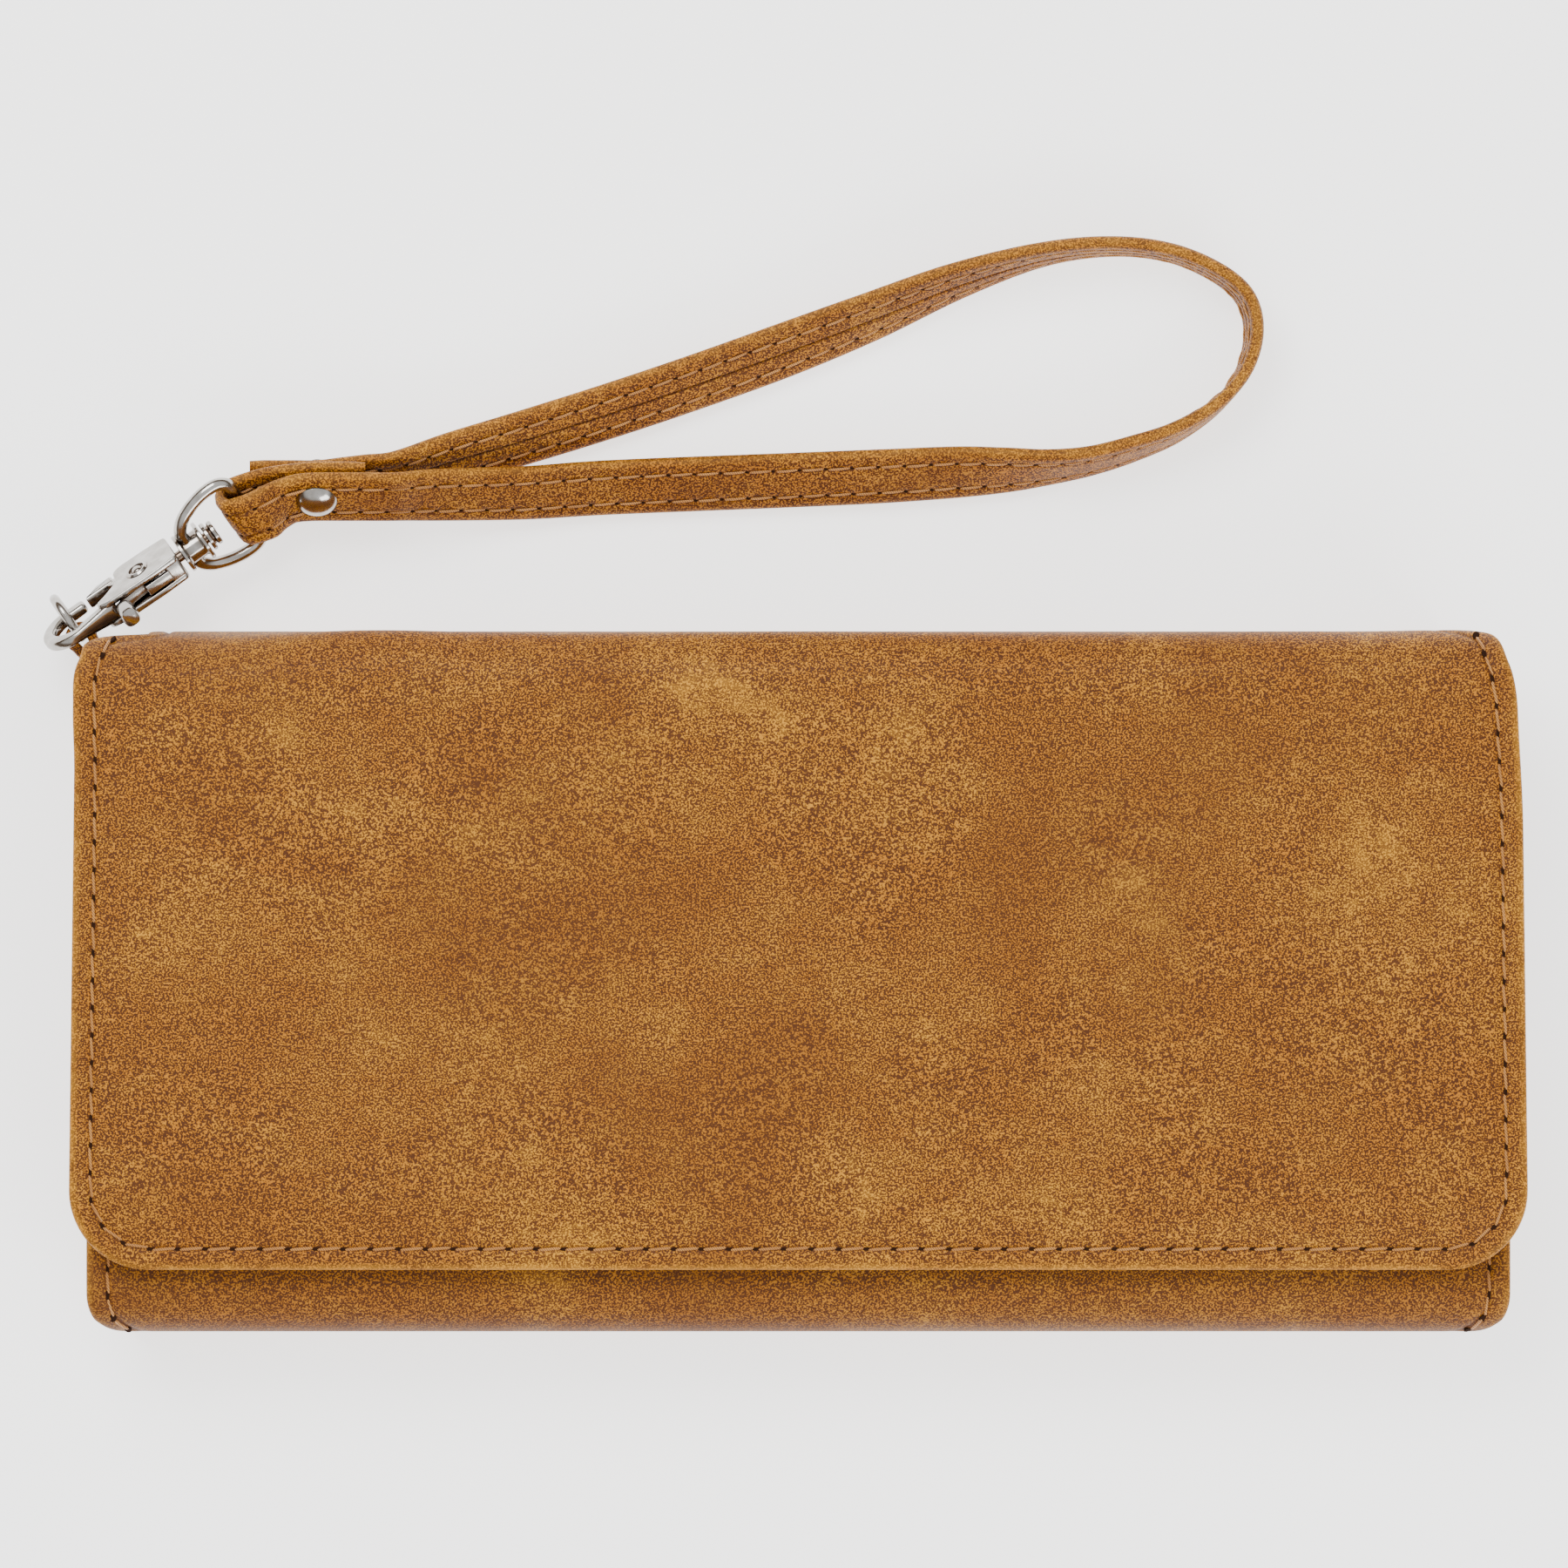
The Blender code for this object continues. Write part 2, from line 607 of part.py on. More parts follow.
def build_clasp_frame():
    """Slotted body, collar, and a round hook left open on its nose side."""
    mid = HOOK_EYE[1]
    low, high = BODY_W
    end = BODY_L[1]
    arm = mid + HOOK_BEND_R
    outline = [(BODY_L[0], -2.9), (6.2, low + 1.2), (OPENING_L - 1.2, low), (OPENING_L, low + 1.2),
               (OPENING_L - 0.2, low + 3.2), (OPENING_L + 0.2, -1.2), (end, arm - HOOK_R - 0.2),
               (end + 1.3, arm - 0.4), (end + 1.3, arm + 0.4), (end, high - 0.4), (7.0, high),
               (BODY_L[0], 2.6)]
    frame = plate("clasp_frame", outline, -BODY_HALF_N, BODY_HALF_N, "nickel")
    soften(frame, 0.35, 1, 30)
    frame = baked(frame)
    slot = block("clasp_slot", (SLOT_L[0], low - 1, -SLOT_HALF_N), (SLOT_L[1], high + 1, SLOT_HALF_N),
                 "nickel")
    centre = Vector(HOOK_EYE).to_3d()
    route = [Vector((end - 0.6, arm, 0)), Vector((18.0, arm, 0))]
    route += [centre + Vector((x, y, 0)) for x, y in arc((0, 0), (HOOK_BEND_R, HOOK_BEND_R), 90, -90, 12)]
    route.append(Vector((NOSE_L, mid - HOOK_BEND_R, 0)))
    hook = wire("clasp_hook", route, HOOK_R, "nickel", resolution=4)
    collar = along_x(turned("clasp_collar", [(0, COLLAR_L[1]), (COLLAR_R, COLLAR_L[1]),
                                             (COLLAR_R, COLLAR_L[0]), (0, COLLAR_L[0])], "nickel", 8))
    for piece in (hook, collar):
        boolean(frame, piece, "UNION")
    bore_r = SWIVEL_PIN_R + GAP
    bore = along_x(turned("clasp_bore", [(0, 4.2), (bore_r, 4.2), (bore_r, 0), (0, 0)], "nickel", 16))
    hole_r = PIVOT_PIN_R + GAP
    hole = turned("pivot_bore", [(0, 4), (hole_r, 4), (hole_r, -4), (0, -4)], "nickel", 16)
    hole.data.transform(Matrix.Translation((GATE_PIVOT_L * MM, 0, 0)))
    for cutter in (bore, hole, slot):
        boolean(frame, cutter, "DIFFERENCE")
    frame = baked(frame)
    smooth(frame)
    place(frame, CLIP_AXES, HOOK_PIVOT)


def build_gate():
    """A lever: the gate closes the hook, and the thumb knob stands out behind."""
    nose = HOOK_EYE[1] - HOOK_BEND_R
    hub = GATE_PIVOT_L
    outline = arc((hub, 0), (2.3, 2.3), 100, 200, 6)
    outline += [(hub, -4.6), (hub + 1.6, nose + 0.6), (OPENING_L + 2.0, nose + 0.2),
                (OPENING_L + 2.0, nose + 0.8), (OPENING_L + 0.4, -3.2), (hub + 2.6, -0.8),
                (hub + 2.4, 0.6), (KNOB_L[1] - 1.1, 2.7), (KNOB_L[1] - 1.1, KNOB_W[0] + 0.5),
                (KNOB_L[0], KNOB_W[0] + 0.5), (KNOB_L[0] - 0.6, 3.0), (hub + 1.4, 2.4)]
    gate = plate("clasp_gate", outline, -GATE_HALF_N, GATE_HALF_N, "nickel")
    low, high = nose - GATE_BAR_HALF_W, nose + GATE_BAR_HALF_W
    slant = [(OPENING_L + 0.6, low), (GATE_TIP_L - GATE_TIP_SLANT, low), (GATE_TIP_L, high - 0.2),
             (GATE_TIP_L, high), (OPENING_L + 0.6, high)]
    bar = plate("gate_bar", slant, -GATE_BAR_HALF_N, GATE_BAR_HALF_N, "nickel")
    soften(bar, 0.3, 1)
    boolean(gate, bar, "UNION")
    knob = block("gate_knob", (KNOB_L[0] - 0.3, KNOB_W[0], -KNOB_HALF_N),
                 (KNOB_L[1] - 0.3, KNOB_W[1], KNOB_HALF_N), "nickel")
    soften(knob, 0.5, 2)
    boolean(gate, knob, "UNION")
    hole = turned("gate_hole", [(0, 4), (PIVOT_HOLE_R, 4), (PIVOT_HOLE_R, -4), (0, -4)], "nickel", 16)
    hole.data.transform(Matrix.Translation((hub * MM, 0, 0)))
    boolean(gate, hole, "DIFFERENCE")
    gate = baked(gate)
    place(gate, CLIP_AXES, Vector((hub, 0, 0)))


def build_clasp_pins():
    reach = BODY_HALF_N + 0.1
    head = 0.35
    profile = [(0, reach), (PIVOT_PIN_R, reach), (PIVOT_PIN_R, -reach), (0, -reach)]
    pivot = turned("gate_pivot_pin", profile, "nickel", 12)
    pivot.data.transform(Matrix.Translation((GATE_PIVOT_L * MM, 0, 0)))
    place(pivot, CLIP_AXES, Vector((GATE_PIVOT_L, 0, 0)))
    near = -BOSS_HALF - GAP
    disc = 2.25
    profile = [(0, 3.8), (SWIVEL_PIN_R, 3.8), (SWIVEL_PIN_R, near), (disc, near), (disc, near - 0.6),
               (1.5, near - 0.9), (disc - head, near - 1.3), (disc - head, near - 1.8), (0, near - 1.8)]
    pin = along_x(turned("swivel_pin", profile, "nickel", 16))
    place(pin, CLIP_AXES, Vector((0, 0, 0)))
    rise = 1.7
    route = [Vector((x, y, 0)) for x, y in ((5.9, -rise), (5.9, 0), (5.9, rise), (6.2, 2.4), (6.9, 2.9))]
    spring = wire("gate_spring", route, 0.2, "spring_steel", resolution=1)
    place(spring, CLIP_AXES, Vector((5.9, 0, 0)))


def build_swivel_loop():
    """A bored boss and a wire loop that carries the strap on its straight bar."""
    side = [Vector((x, y, 0)) for x, y in LOOP_SIDE]
    far = [Vector((p.x, -p.y, 0)) for p in reversed(side)]
    loop = wire("swivel_loop", smooth_path(side, 3) + smooth_path(far, 3), LOOP_WIRE_R, "nickel")
    waist = BOSS_HALF - FLANGE
    profile = [(0, BOSS_HALF), (FLANGE_R, BOSS_HALF), (FLANGE_R, waist), (BOSS_R, waist), (BOSS_R, -waist),
               (FLANGE_R, -waist), (FLANGE_R, -BOSS_HALF), (0, -BOSS_HALF)]
    boss = along_x(turned("loop_boss", profile, "nickel", 20))
    boolean(loop, boss, "UNION")
    bore = along_x(turned("loop_bore", [(0, 4), (BORE_R, 4), (BORE_R, -4), (0, -4)], "nickel", 16))
    boolean(loop, bore, "DIFFERENCE")
    loop = baked(loop)
    smooth(loop)
    place(loop, LOOP_AXES, Vector((0, 0, 0)))


# ---------------------------------------------------------------- ring and its tab

def build_tab_ring():
    """A D of wire: straight through the tab, round outside it."""
    centre = LEFT * (RING_R + 0.1)
    route = [centre + LEFT * x + UP * z for x, z in arc((0, 0), (RING_R, RING_R), 90, -90, 14)]
    route += [LEFT * 1.1 - UP * (RING_R - 0.1), LEFT * 0.3 - UP * (RING_STRAIGHT + 0.7)]
    route += [-UP * RING_STRAIGHT, UP * RING_STRAIGHT]
    route += [LEFT * 0.3 + UP * (RING_STRAIGHT + 0.7), LEFT * 1.1 + UP * (RING_R - 0.1)]
    ring = wire("tab_ring", route, RING_WIRE_R, "nickel", closed=True)
    smooth(ring)
    ring.location = TUNNEL * MM


def build_ring_tab():
    """A strip of leather folded round the ring, its ends sewn into the wallet."""
    radius = RING_WIRE_R + GAP + TAB_SHEET / 2
    pinch = (TAB_SHEET + GAP) / 2
    legs = [(TAB_LEG, pinch), (3.2, pinch), (2.0, pinch + 0.3)]
    turn = arc((0, 0), (radius, radius), 60, 300, 10)
    route = legs + turn + [(x, -y) for x, y in reversed(legs)]
    out = -LEFT
    across = SWIVEL_AXIS
    height = TAB_Z[1] - TAB_Z[0]
    middle = (TAB_Z[0] + TAB_Z[1]) / 2
    base = Vector((TUNNEL.x, TUNNEL.y, middle))
    centres = [base + out * x + across * y for x, y in route]
    ribbon("ring_tab", centres, [UP * height] * len(centres), TAB_SHEET, "leather")


# ---------------------------------------------------------------- wrist strap

STACK_UP = Vector((0, math.cos(math.radians(STACK_TILT)), math.sin(math.radians(STACK_TILT))))
STACK_NORMAL = Vector((0, -STACK_UP.z, STACK_UP.y))


def stack_row(x):
    """Middle of the stack between bar and rivet, its normal and its width vector."""
    run = STACK_FLAT_X - BAR_CENTRE.x
    share = min(max((x - BAR_CENTRE.x) / run, 0), 1)
    share = (share + share * share * (3 - 2 * share)) / 2
    turn = min(max((x - BAR_CENTRE.x - TWIST_DELAY) / (run - TWIST_DELAY), 0), 1)
    ease = turn * turn * (3 - 2 * turn)
    middle = BAR_CENTRE.lerp(RIVET_CENTRE, share)
    middle.x = x
    width = (-LOOP_BAR).lerp(STACK_UP, ease).normalized()
    heading = Vector((1, 0.15, 0.1))
    normal = heading.cross(width).normalized()
    return middle, normal.lerp(STACK_NORMAL, ease).normalized(), width, ease


def layer(x, at_bar, at_rivet):
    middle, normal, width, ease = stack_row(x)
    offset = at_bar + (at_rivet - at_bar) * ease
    return middle + normal * offset, width


def wrap_rows():
    """The turn round the bar, from the tab's side to the leg's side."""
    width = -LOOP_BAR
    normal = stack_row(BAR_CENTRE.x)[1]
    back = width.cross(normal)
    rows = []
    for step in range(1, WRAP_STEPS):
        angle = math.pi * step / WRAP_STEPS
        rows.append((BAR_CENTRE - normal * WRAP_R * math.cos(angle) - back * WRAP_R * math.sin(angle), width))
    return rows


def course_rows():
    """The free loop: lying on the surface, on edge at its far end."""
    rows = []
    count = len(LOOP_COURSE)
    for index, (x, y, roll) in enumerate(LOOP_COURSE):
        before = LOOP_COURSE[max(index - 1, 0)]
        after = LOOP_COURSE[min(index + 1, count - 1)]
        heading = Vector((after[0] - before[0], after[1] - before[1], 0)).normalized()
        outside = Vector((heading.y, -heading.x, 0))
        angle = math.radians(roll)
        width = math.sin(angle) * UP - math.cos(angle) * outside
        rest = STRAP_WIDTH / 2 * math.sin(angle) + STRAP_SHEET / 2 * abs(math.cos(angle)) + STRAP_LIFT
        rows.append((Vector((x, y, rest)), width))
    for index, lift in COURSE_LIFTS:
        rows[index] = (rows[index][0] + UP * lift, rows[index][1])
    return rows


def last_rows():
    """The strip's far end, flat under the tab and slipped down as it nears the bar."""
    rows = []
    for x in END_XS:
        slip = END_SLIP * min((END_XS[0] - x) / END_SLIP_RUN, 1)
        middle = RIVET_CENTRE - STACK_NORMAL * 1.5 * STRAP_PITCH - STACK_UP * slip
        rows.append((Vector((x, middle.y, middle.z)), STACK_UP))
    return rows


def strap_rows():
    """Centre and width of the whole strip, from the tab's cut end onwards."""
    leg = STRAP_PITCH / 2
    tab = [layer(x, -WRAP_R, -leg) for x in TAB_XS]
    front = [layer(x, WRAP_R, leg) for x in LEG_XS]
    return tab, wrap_rows(), front, course_rows(), last_rows()


def build_strap():
    tab, wrap, front, course, last = strap_rows()
    free = front[-3:] + course + last[:3]
    centres = smooth_path([row[0] for row in free], 3)
    widths = smooth_path([row[1] for row in free], 3)
    rows = tab + wrap + front[:-3] + list(zip(centres, widths)) + last[3:]
    strap = ribbon("wrist_strap", [row[0] for row in rows],
                   [row[1].normalized() * STRAP_WIDTH for row in rows], STRAP_SHEET, "leather")
    strap = baked(strap)
    hole = turned("rivet_hole", [(0, 8), (RIVET_HOLE_R, 8), (RIVET_HOLE_R, -8), (0, -8)], "nickel", 16)
    hole.matrix_world = rivet_matrix()
    boolean(strap, hole, "DIFFERENCE")
    strap = baked(strap)
    move_origin(strap, BAR_CENTRE * MM)


def rivet_matrix():
    turn = UP.rotation_difference(STACK_NORMAL).to_matrix().to_4x4()
    return Matrix.Translation(RIVET_CENTRE * MM) @ turn


def build_rivet():
    """A domed cap with its post, and the cap that closes it underneath."""
    top = STRAP_PITCH / 2 + STRAP_SHEET / 2 + GAP
    foot = -3 * STRAP_PITCH / 2 - STRAP_SHEET / 2 - GAP
    dome = [(RIVET_R * math.sin(a), top + 0.25 + 1.0 * math.cos(a))
            for a in (math.radians(90 * step / 5) for step in range(6))]
    profile = dome + [(RIVET_R, top), (RIVET_POST_R, top), (RIVET_POST_R, foot - 0.1), (0, foot - 0.1)]
    cap = turned("strap_rivet_cap", profile, "nickel")
    cap.matrix_world = rivet_matrix()
    low = foot - GAP - 0.1
    profile = [(0, low), (RIVET_BACK_R, low), (RIVET_BACK_R, low - 0.2), (RIVET_BACK_R - 0.5, low - 0.5),
               (0, low - 0.5)]
    back = turned("strap_rivet_back", profile, "nickel")
    back.matrix_world = rivet_matrix()
    for item in (cap, back):
        smooth(item)


# ---------------------------------------------------------------- assembly

def build_wallet():
    build_back()
    spine_top = THICKNESS - SPINE_CLEAR
    build_spine("top_spine", TOP_Y, -1, TOP_SPINE_HALF_X, SPINE_CLEAR, spine_top)
    build_spine("bottom_spine", BOTTOM_Y, 1, BOTTOM_SPINE_HALF_X, SPINE_CLEAR, FRONT_Z - SPINE_CLEAR)
    build_front()
    build_flap()
    build_card_pockets()
    build_gusset("gusset_left", -1)
    build_gusset("gusset_right", 1)
    build_pouch()
    build_chain()
    build_slider()
    build_pull()
    build_press_stud()
    for name in ("flap_skin", "flap_board", "flap_lining", "snap_stud"):
        move_origin(bpy.data.objects[name], Vector((0, TOP_Y, THICKNESS)) * MM)
    front = ["front_skin", "front_board", "front_lining", "snap_socket"]
    front += [f"front_card_pocket_{tier + 1}" for tier in range(len(CARD_TIER_TOPS))]
    for name in front:
        move_origin(bpy.data.objects[name], Vector((0, BOTTOM_Y, FRONT_Z)) * MM)


def build_clip_and_strap():
    build_ring_tab()
    build_tab_ring()
    build_clasp_frame()
    build_gate()
    build_clasp_pins()
    build_swivel_loop()
    build_strap()
    build_rivet()


clear_scene()
PARTS = make_collection("wristlet_wallet")
CUTTERS = make_collection("cutters")
build_wallet()
build_clip_and_strap()
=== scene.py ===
"""Looks of the wristlet wallet: leather, linings, stitches, zip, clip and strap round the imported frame."""
import json
import math
import random

import bmesh
import bpy
import numpy as np
from mathutils import Matrix, Vector, kdtree, noise

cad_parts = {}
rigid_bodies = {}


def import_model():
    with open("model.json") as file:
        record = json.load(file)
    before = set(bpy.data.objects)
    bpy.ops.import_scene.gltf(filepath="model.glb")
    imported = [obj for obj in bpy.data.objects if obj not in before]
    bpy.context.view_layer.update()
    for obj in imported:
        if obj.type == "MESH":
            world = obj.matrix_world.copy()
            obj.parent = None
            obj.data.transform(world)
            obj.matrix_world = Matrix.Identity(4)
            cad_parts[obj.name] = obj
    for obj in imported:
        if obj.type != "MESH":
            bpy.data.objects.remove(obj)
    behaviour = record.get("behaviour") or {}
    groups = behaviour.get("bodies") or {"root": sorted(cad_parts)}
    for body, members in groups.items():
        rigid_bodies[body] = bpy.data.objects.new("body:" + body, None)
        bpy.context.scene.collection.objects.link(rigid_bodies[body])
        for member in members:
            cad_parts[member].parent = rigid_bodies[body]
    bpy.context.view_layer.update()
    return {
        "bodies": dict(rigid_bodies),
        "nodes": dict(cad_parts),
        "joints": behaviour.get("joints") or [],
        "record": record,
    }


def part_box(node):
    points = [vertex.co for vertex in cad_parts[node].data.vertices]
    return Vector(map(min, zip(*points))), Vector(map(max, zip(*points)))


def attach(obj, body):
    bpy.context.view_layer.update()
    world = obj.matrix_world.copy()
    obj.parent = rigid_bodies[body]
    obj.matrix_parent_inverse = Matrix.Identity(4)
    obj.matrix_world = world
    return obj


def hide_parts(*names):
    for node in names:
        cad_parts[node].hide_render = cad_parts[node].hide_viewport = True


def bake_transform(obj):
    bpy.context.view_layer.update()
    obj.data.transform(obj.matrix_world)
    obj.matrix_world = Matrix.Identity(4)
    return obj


MM = 0.001
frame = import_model()
NODES = frame["nodes"]
random.seed(7)


# ---- node helpers

def linear(*srgb):
    """sRGB 0-255 to the linear colour that a shader takes."""
    out = []
    for value in srgb:
        value /= 255
        out.append(value / 12.92 if value <= 0.04045 else ((value + 0.055) / 1.055) ** 2.4)
    return (*out, 1.0)


MIX_COLOURS = (6, 7)


class Shade:
    """A Principled material and short ways to add nodes to it."""

    def __init__(self, name, roughness=0.5, metallic=0.0, **sockets):
        self.material = bpy.data.materials.new(name)
        self.material.use_nodes = True
        self.tree = self.material.node_tree
        self.shader = self.tree.nodes["Principled BSDF"]
        self.set("Roughness", roughness)
        self.set("Metallic", metallic)
        for socket, value in sockets.items():
            self.set(socket.replace("_", " "), value)

    def set(self, socket, value):
        self.shader.inputs[socket].default_value = value

    def link(self, a, b):
        self.tree.links.new(a, b)

    def node(self, kind, **values):
        made = self.tree.nodes.new(kind)
        for key, value in values.items():
            setattr(made, key, value)
        return made

    def feed(self, node, sockets, values):
        """Links each socket to another node's output, or sets it to a plain value."""
        for socket, value in zip(sockets, values):
            if isinstance(value, bpy.types.NodeSocket):
                self.link(value, node.inputs[socket])
            else:
                node.inputs[socket].default_value = value

    def coords(self, stretch=(1, 1, 1)):
        """Object coordinates in millimetres."""
        source = self.node("ShaderNodeTexCoord").outputs["Object"]
        mapping = self.node("ShaderNodeMapping")
        mapping.inputs["Scale"].default_value = [1000 * value for value in stretch]
        self.link(source, mapping.inputs["Vector"])
        return mapping.outputs["Vector"]

    def noise(self, vector, size, detail=2.0, roughness=0.5, distortion=0.0):
        """Noise whose blobs are about size millimetres."""
        made = self.node("ShaderNodeTexNoise")
        self.feed(made, ("Scale", "Detail", "Roughness", "Distortion", "Vector"),
                  (1 / size, detail, roughness, distortion, vector))
        return made.outputs["Fac"]

    def spread(self, value, low, high, to_low=0.0, to_high=1.0):
        made = self.node("ShaderNodeMapRange", interpolation_type="SMOOTHSTEP")
        self.feed(made, ("From Min", "From Max", "To Min", "To Max", "Value"),
                  (low, high, to_low, to_high, value))
        return made.outputs["Result"]

    def math(self, operation, a, b):
        made = self.node("ShaderNodeMath", operation=operation)
        self.feed(made, (0, 1), (a, b))
        return made.outputs[0]

    def mix(self, factor, a, b):
        made = self.node("ShaderNodeMix", data_type="RGBA")
        self.feed(made, ("Factor", *MIX_COLOURS), (factor, a, b))
        return made.outputs[2]

    def weighted(self, a, weight, b, other):
        return self.math("ADD", self.math("MULTIPLY", a, weight), self.math("MULTIPLY", b, other))

    def stain(self, tone, value, low, high, most, colour):
        """Tone with up to most of colour over it where value passes from low to high."""
        return self.mix(self.spread(value, low, high, 0.0, most), tone, colour)

    def split(self):
        """The object coordinates' three separate outputs, in millimetres."""
        made = self.node("ShaderNodeSeparateXYZ")
        self.link(self.coords(), made.inputs[0])
        return made.outputs

    def attribute(self, name):
        return self.node("ShaderNodeAttribute", attribute_name=name).outputs["Fac"]

    def colour(self, value):
        self.link(value, self.shader.inputs["Base Color"])

    def roughness(self, value):
        self.link(value, self.shader.inputs["Roughness"])

    def bump(self, height, depth, strength=1.0, under=None):
        """A bump of depth millimetres where height runs from 0 to 1."""
        made = self.node("ShaderNodeBump")
        self.feed(made, ("Strength", "Distance", "Height"), (strength, depth * MM, height))
        if under is not None:
            self.link(under, made.inputs["Normal"])
        self.link(made.outputs["Normal"], self.shader.inputs["Normal"])
        return made.outputs["Normal"]


# ---- materials

def leather(name, dark, base, light, golden, patch=24.0):
    """Brushed leatherette: worm-like pebble grain over cloudy lighter patches."""
    s = Shade(name, roughness=0.5, Specular_IOR_Level=0.24, Sheen_Weight=0.02, Sheen_Roughness=0.45,
              Sheen_Tint=linear(236, 170, 90))
    where = s.coords()
    grain = s.noise(where, 0.25, detail=0.0, distortion=0.5)
    wide = s.noise(where, 0.55, detail=1.0)
    pebble = s.spread(s.weighted(grain, 0.9, wide, 0.1), 0.445, 0.635)
    cloud = s.noise(where, patch, detail=4.0, roughness=0.62, distortion=0.25)
    brushed = s.noise(s.coords((1.0, 1.7, 1.0)), patch / 5, detail=5.0, roughness=0.7, distortion=0.8)
    patches = s.weighted(cloud, 0.6, brushed, 0.4)
    lightness = s.spread(patches, 0.41, 0.68, 0.02, 0.88)
    rare = s.spread(patches, 0.57, 0.70)
    low = s.mix(lightness, dark, base)
    high = s.mix(lightness, light, golden)
    tone = s.mix(pebble, low, high)
    tone = s.mix(s.math("MULTIPLY", rare, 0.35), tone, golden)
    shade = s.spread(s.noise(where, patch * 1.7, detail=2.0), 0.36, 0.52, 0.28, 0.0)
    tone = s.mix(shade, tone, base)
    # Painted highlight with rubbed wear: golden along the rounded cut edges, where the vertex attribute says.
    rim_wear_and_highlight = s.math("MULTIPLY", s.attribute("rim_wear_and_highlight"), s.spread(brushed, 0.35, 0.65, 0.25, 0.8))
    tone = s.mix(rim_wear_and_highlight, tone, golden)
    # Darker by the groove attribute: along sewn grooves and seams, and painted shade below the flap and on
    # the front's bottom fold.
    s.colour(s.mix(s.attribute("groove"), tone, dark))
    s.roughness(s.spread(patches, 0.35, 0.68, 0.60, 0.50))
    first = s.bump(pebble, 0.10, 0.5)
    s.bump(brushed, 0.30, 0.25, first)
    return s.material


def lining_cloth(name, dark, light, pitch=0.55):
    """Plain woven lining cloth."""
    s = Shade(name, roughness=0.9, Specular_IOR_Level=0.25, Sheen_Weight=0.25, Sheen_Roughness=0.5)
    x, y, z = s.split()
    rate = 2 * math.pi / pitch
    warp = s.math("SINE", s.math("MULTIPLY", x, rate), 0)
    weft = s.math("SINE", s.math("MULTIPLY", s.math("ADD", y, z), rate), 0)
    weave = s.spread(s.math("MULTIPLY", warp, weft), -1, 1)
    slub = s.noise(s.coords((0.25, 1, 1)), 1.2, detail=3.0)
    cloud = s.noise(s.coords(), 18.0, detail=3.0)
    tone = s.stain(s.mix(weave, dark, light), slub, 0.35, 0.7, 0.14, dark)
    tone = s.stain(tone, cloud, 0.35, 0.65, 0.25, light)
    s.colour(tone)
    s.roughness(s.spread(slub, 0.3, 0.7, 0.82, 0.95))
    s.bump(weave, 0.12, 0.6)
    return s.material


def tape_cloth(name, dark, light):
    """Zip tape: fine herringbone ribs."""
    s = Shade(name, roughness=0.88, Specular_IOR_Level=0.25, Sheen_Weight=0.2)
    x, y, _ = s.split()
    slope = s.math("PINGPONG", y, 1.1)
    rib = s.spread(s.math("SINE", s.math("MULTIPLY", s.math("ADD", x, slope), 9.0), 0), -1, 1)
    cloud = s.noise(s.coords(), 3.0, detail=3.0)
    s.colour(s.stain(s.mix(rib, dark, light), cloud, 0.3, 0.7, 0.3, dark))
    s.bump(rib, 0.10, 0.7)
    return s.material


def paperboard():
    s = Shade("paperboard", roughness=0.95, Specular_IOR_Level=0.2)
    fibres = s.noise(s.coords((0.3, 1, 1)), 0.6, detail=4.0)
    tone = s.mix(s.spread(fibres, 0.35, 0.65), linear(150, 130, 104), linear(196, 178, 148))
    s.colour(s.stain(tone, s.noise(s.coords(), 9.0), 0.4, 0.7, 0.3, linear(128, 108, 84)))
    s.bump(fibres, 0.06, 0.5)
    return s.material


# Dark brown of the painted shade in the metal's hollows.
PAINTED_HOLLOW_SHADE = (0.13, 0.08, 0.045, 1)


def metal(name, bright, shadow, roughness):
    """Polished plate: a faint orange peel, hairline scratches, and painted shade in its hollows."""
    s = Shade(name, roughness=roughness, metallic=1.0)
    cloud = s.noise(s.coords(), 2.2, detail=3.0)
    hair = s.noise(s.coords((0.25, 3.0, 3.0)), 0.35, detail=3.0, roughness=0.7)
    tone = s.mix(s.spread(cloud, 0.3, 0.7), shadow, bright)
    tone = s.stain(tone, hair, 0.62, 0.78, 0.25, shadow)
    # Painted shade: an ambient-occlusion mask turns the hollows and crevices dark brown.
    hollow_shade = s.node("ShaderNodeAmbientOcclusion", samples=6)
    hollow_shade.inputs["Distance"].default_value = 1.1 * MM
    s.colour(s.mix(s.spread(hollow_shade.outputs["AO"], 0.45, 0.98, 0.9, 0.0), tone, PAINTED_HOLLOW_SHADE))
    s.roughness(s.spread(hair, 0.3, 0.75, roughness, roughness + 0.10))
    first = s.bump(cloud, 0.05, 0.25)
    s.bump(hair, 0.01, 0.25, first)
    return s.material


def thread(name, dark, light):
    """Waxed sewing thread with a visible twist."""
    s = Shade(name, roughness=0.55, Specular_IOR_Level=0.4, Sheen_Weight=0.2)
    x, y, _ = s.split()
    run = s.weighted(x, 1.4, y, 1.1)
    twist = s.spread(s.math("SINE", s.math("MULTIPLY", run, 13.0), 0), -1, 1)
    s.colour(s.stain(s.mix(twist, dark, light), s.noise(s.coords(), 6.0), 0.35, 0.65, 0.4, dark))
    s.bump(twist, 0.04, 0.6)
    return s.material


def needle_hole_shade():
    # Painted shade: the dark inside of a needle hole, on a small plug at each hole.
    s = Shade("needle_hole_shade", roughness=0.9, Specular_IOR_Level=0.1)
    s.colour(s.mix(s.noise(s.coords(), 0.4), linear(28, 15, 8), linear(52, 28, 14)))
    return s.material


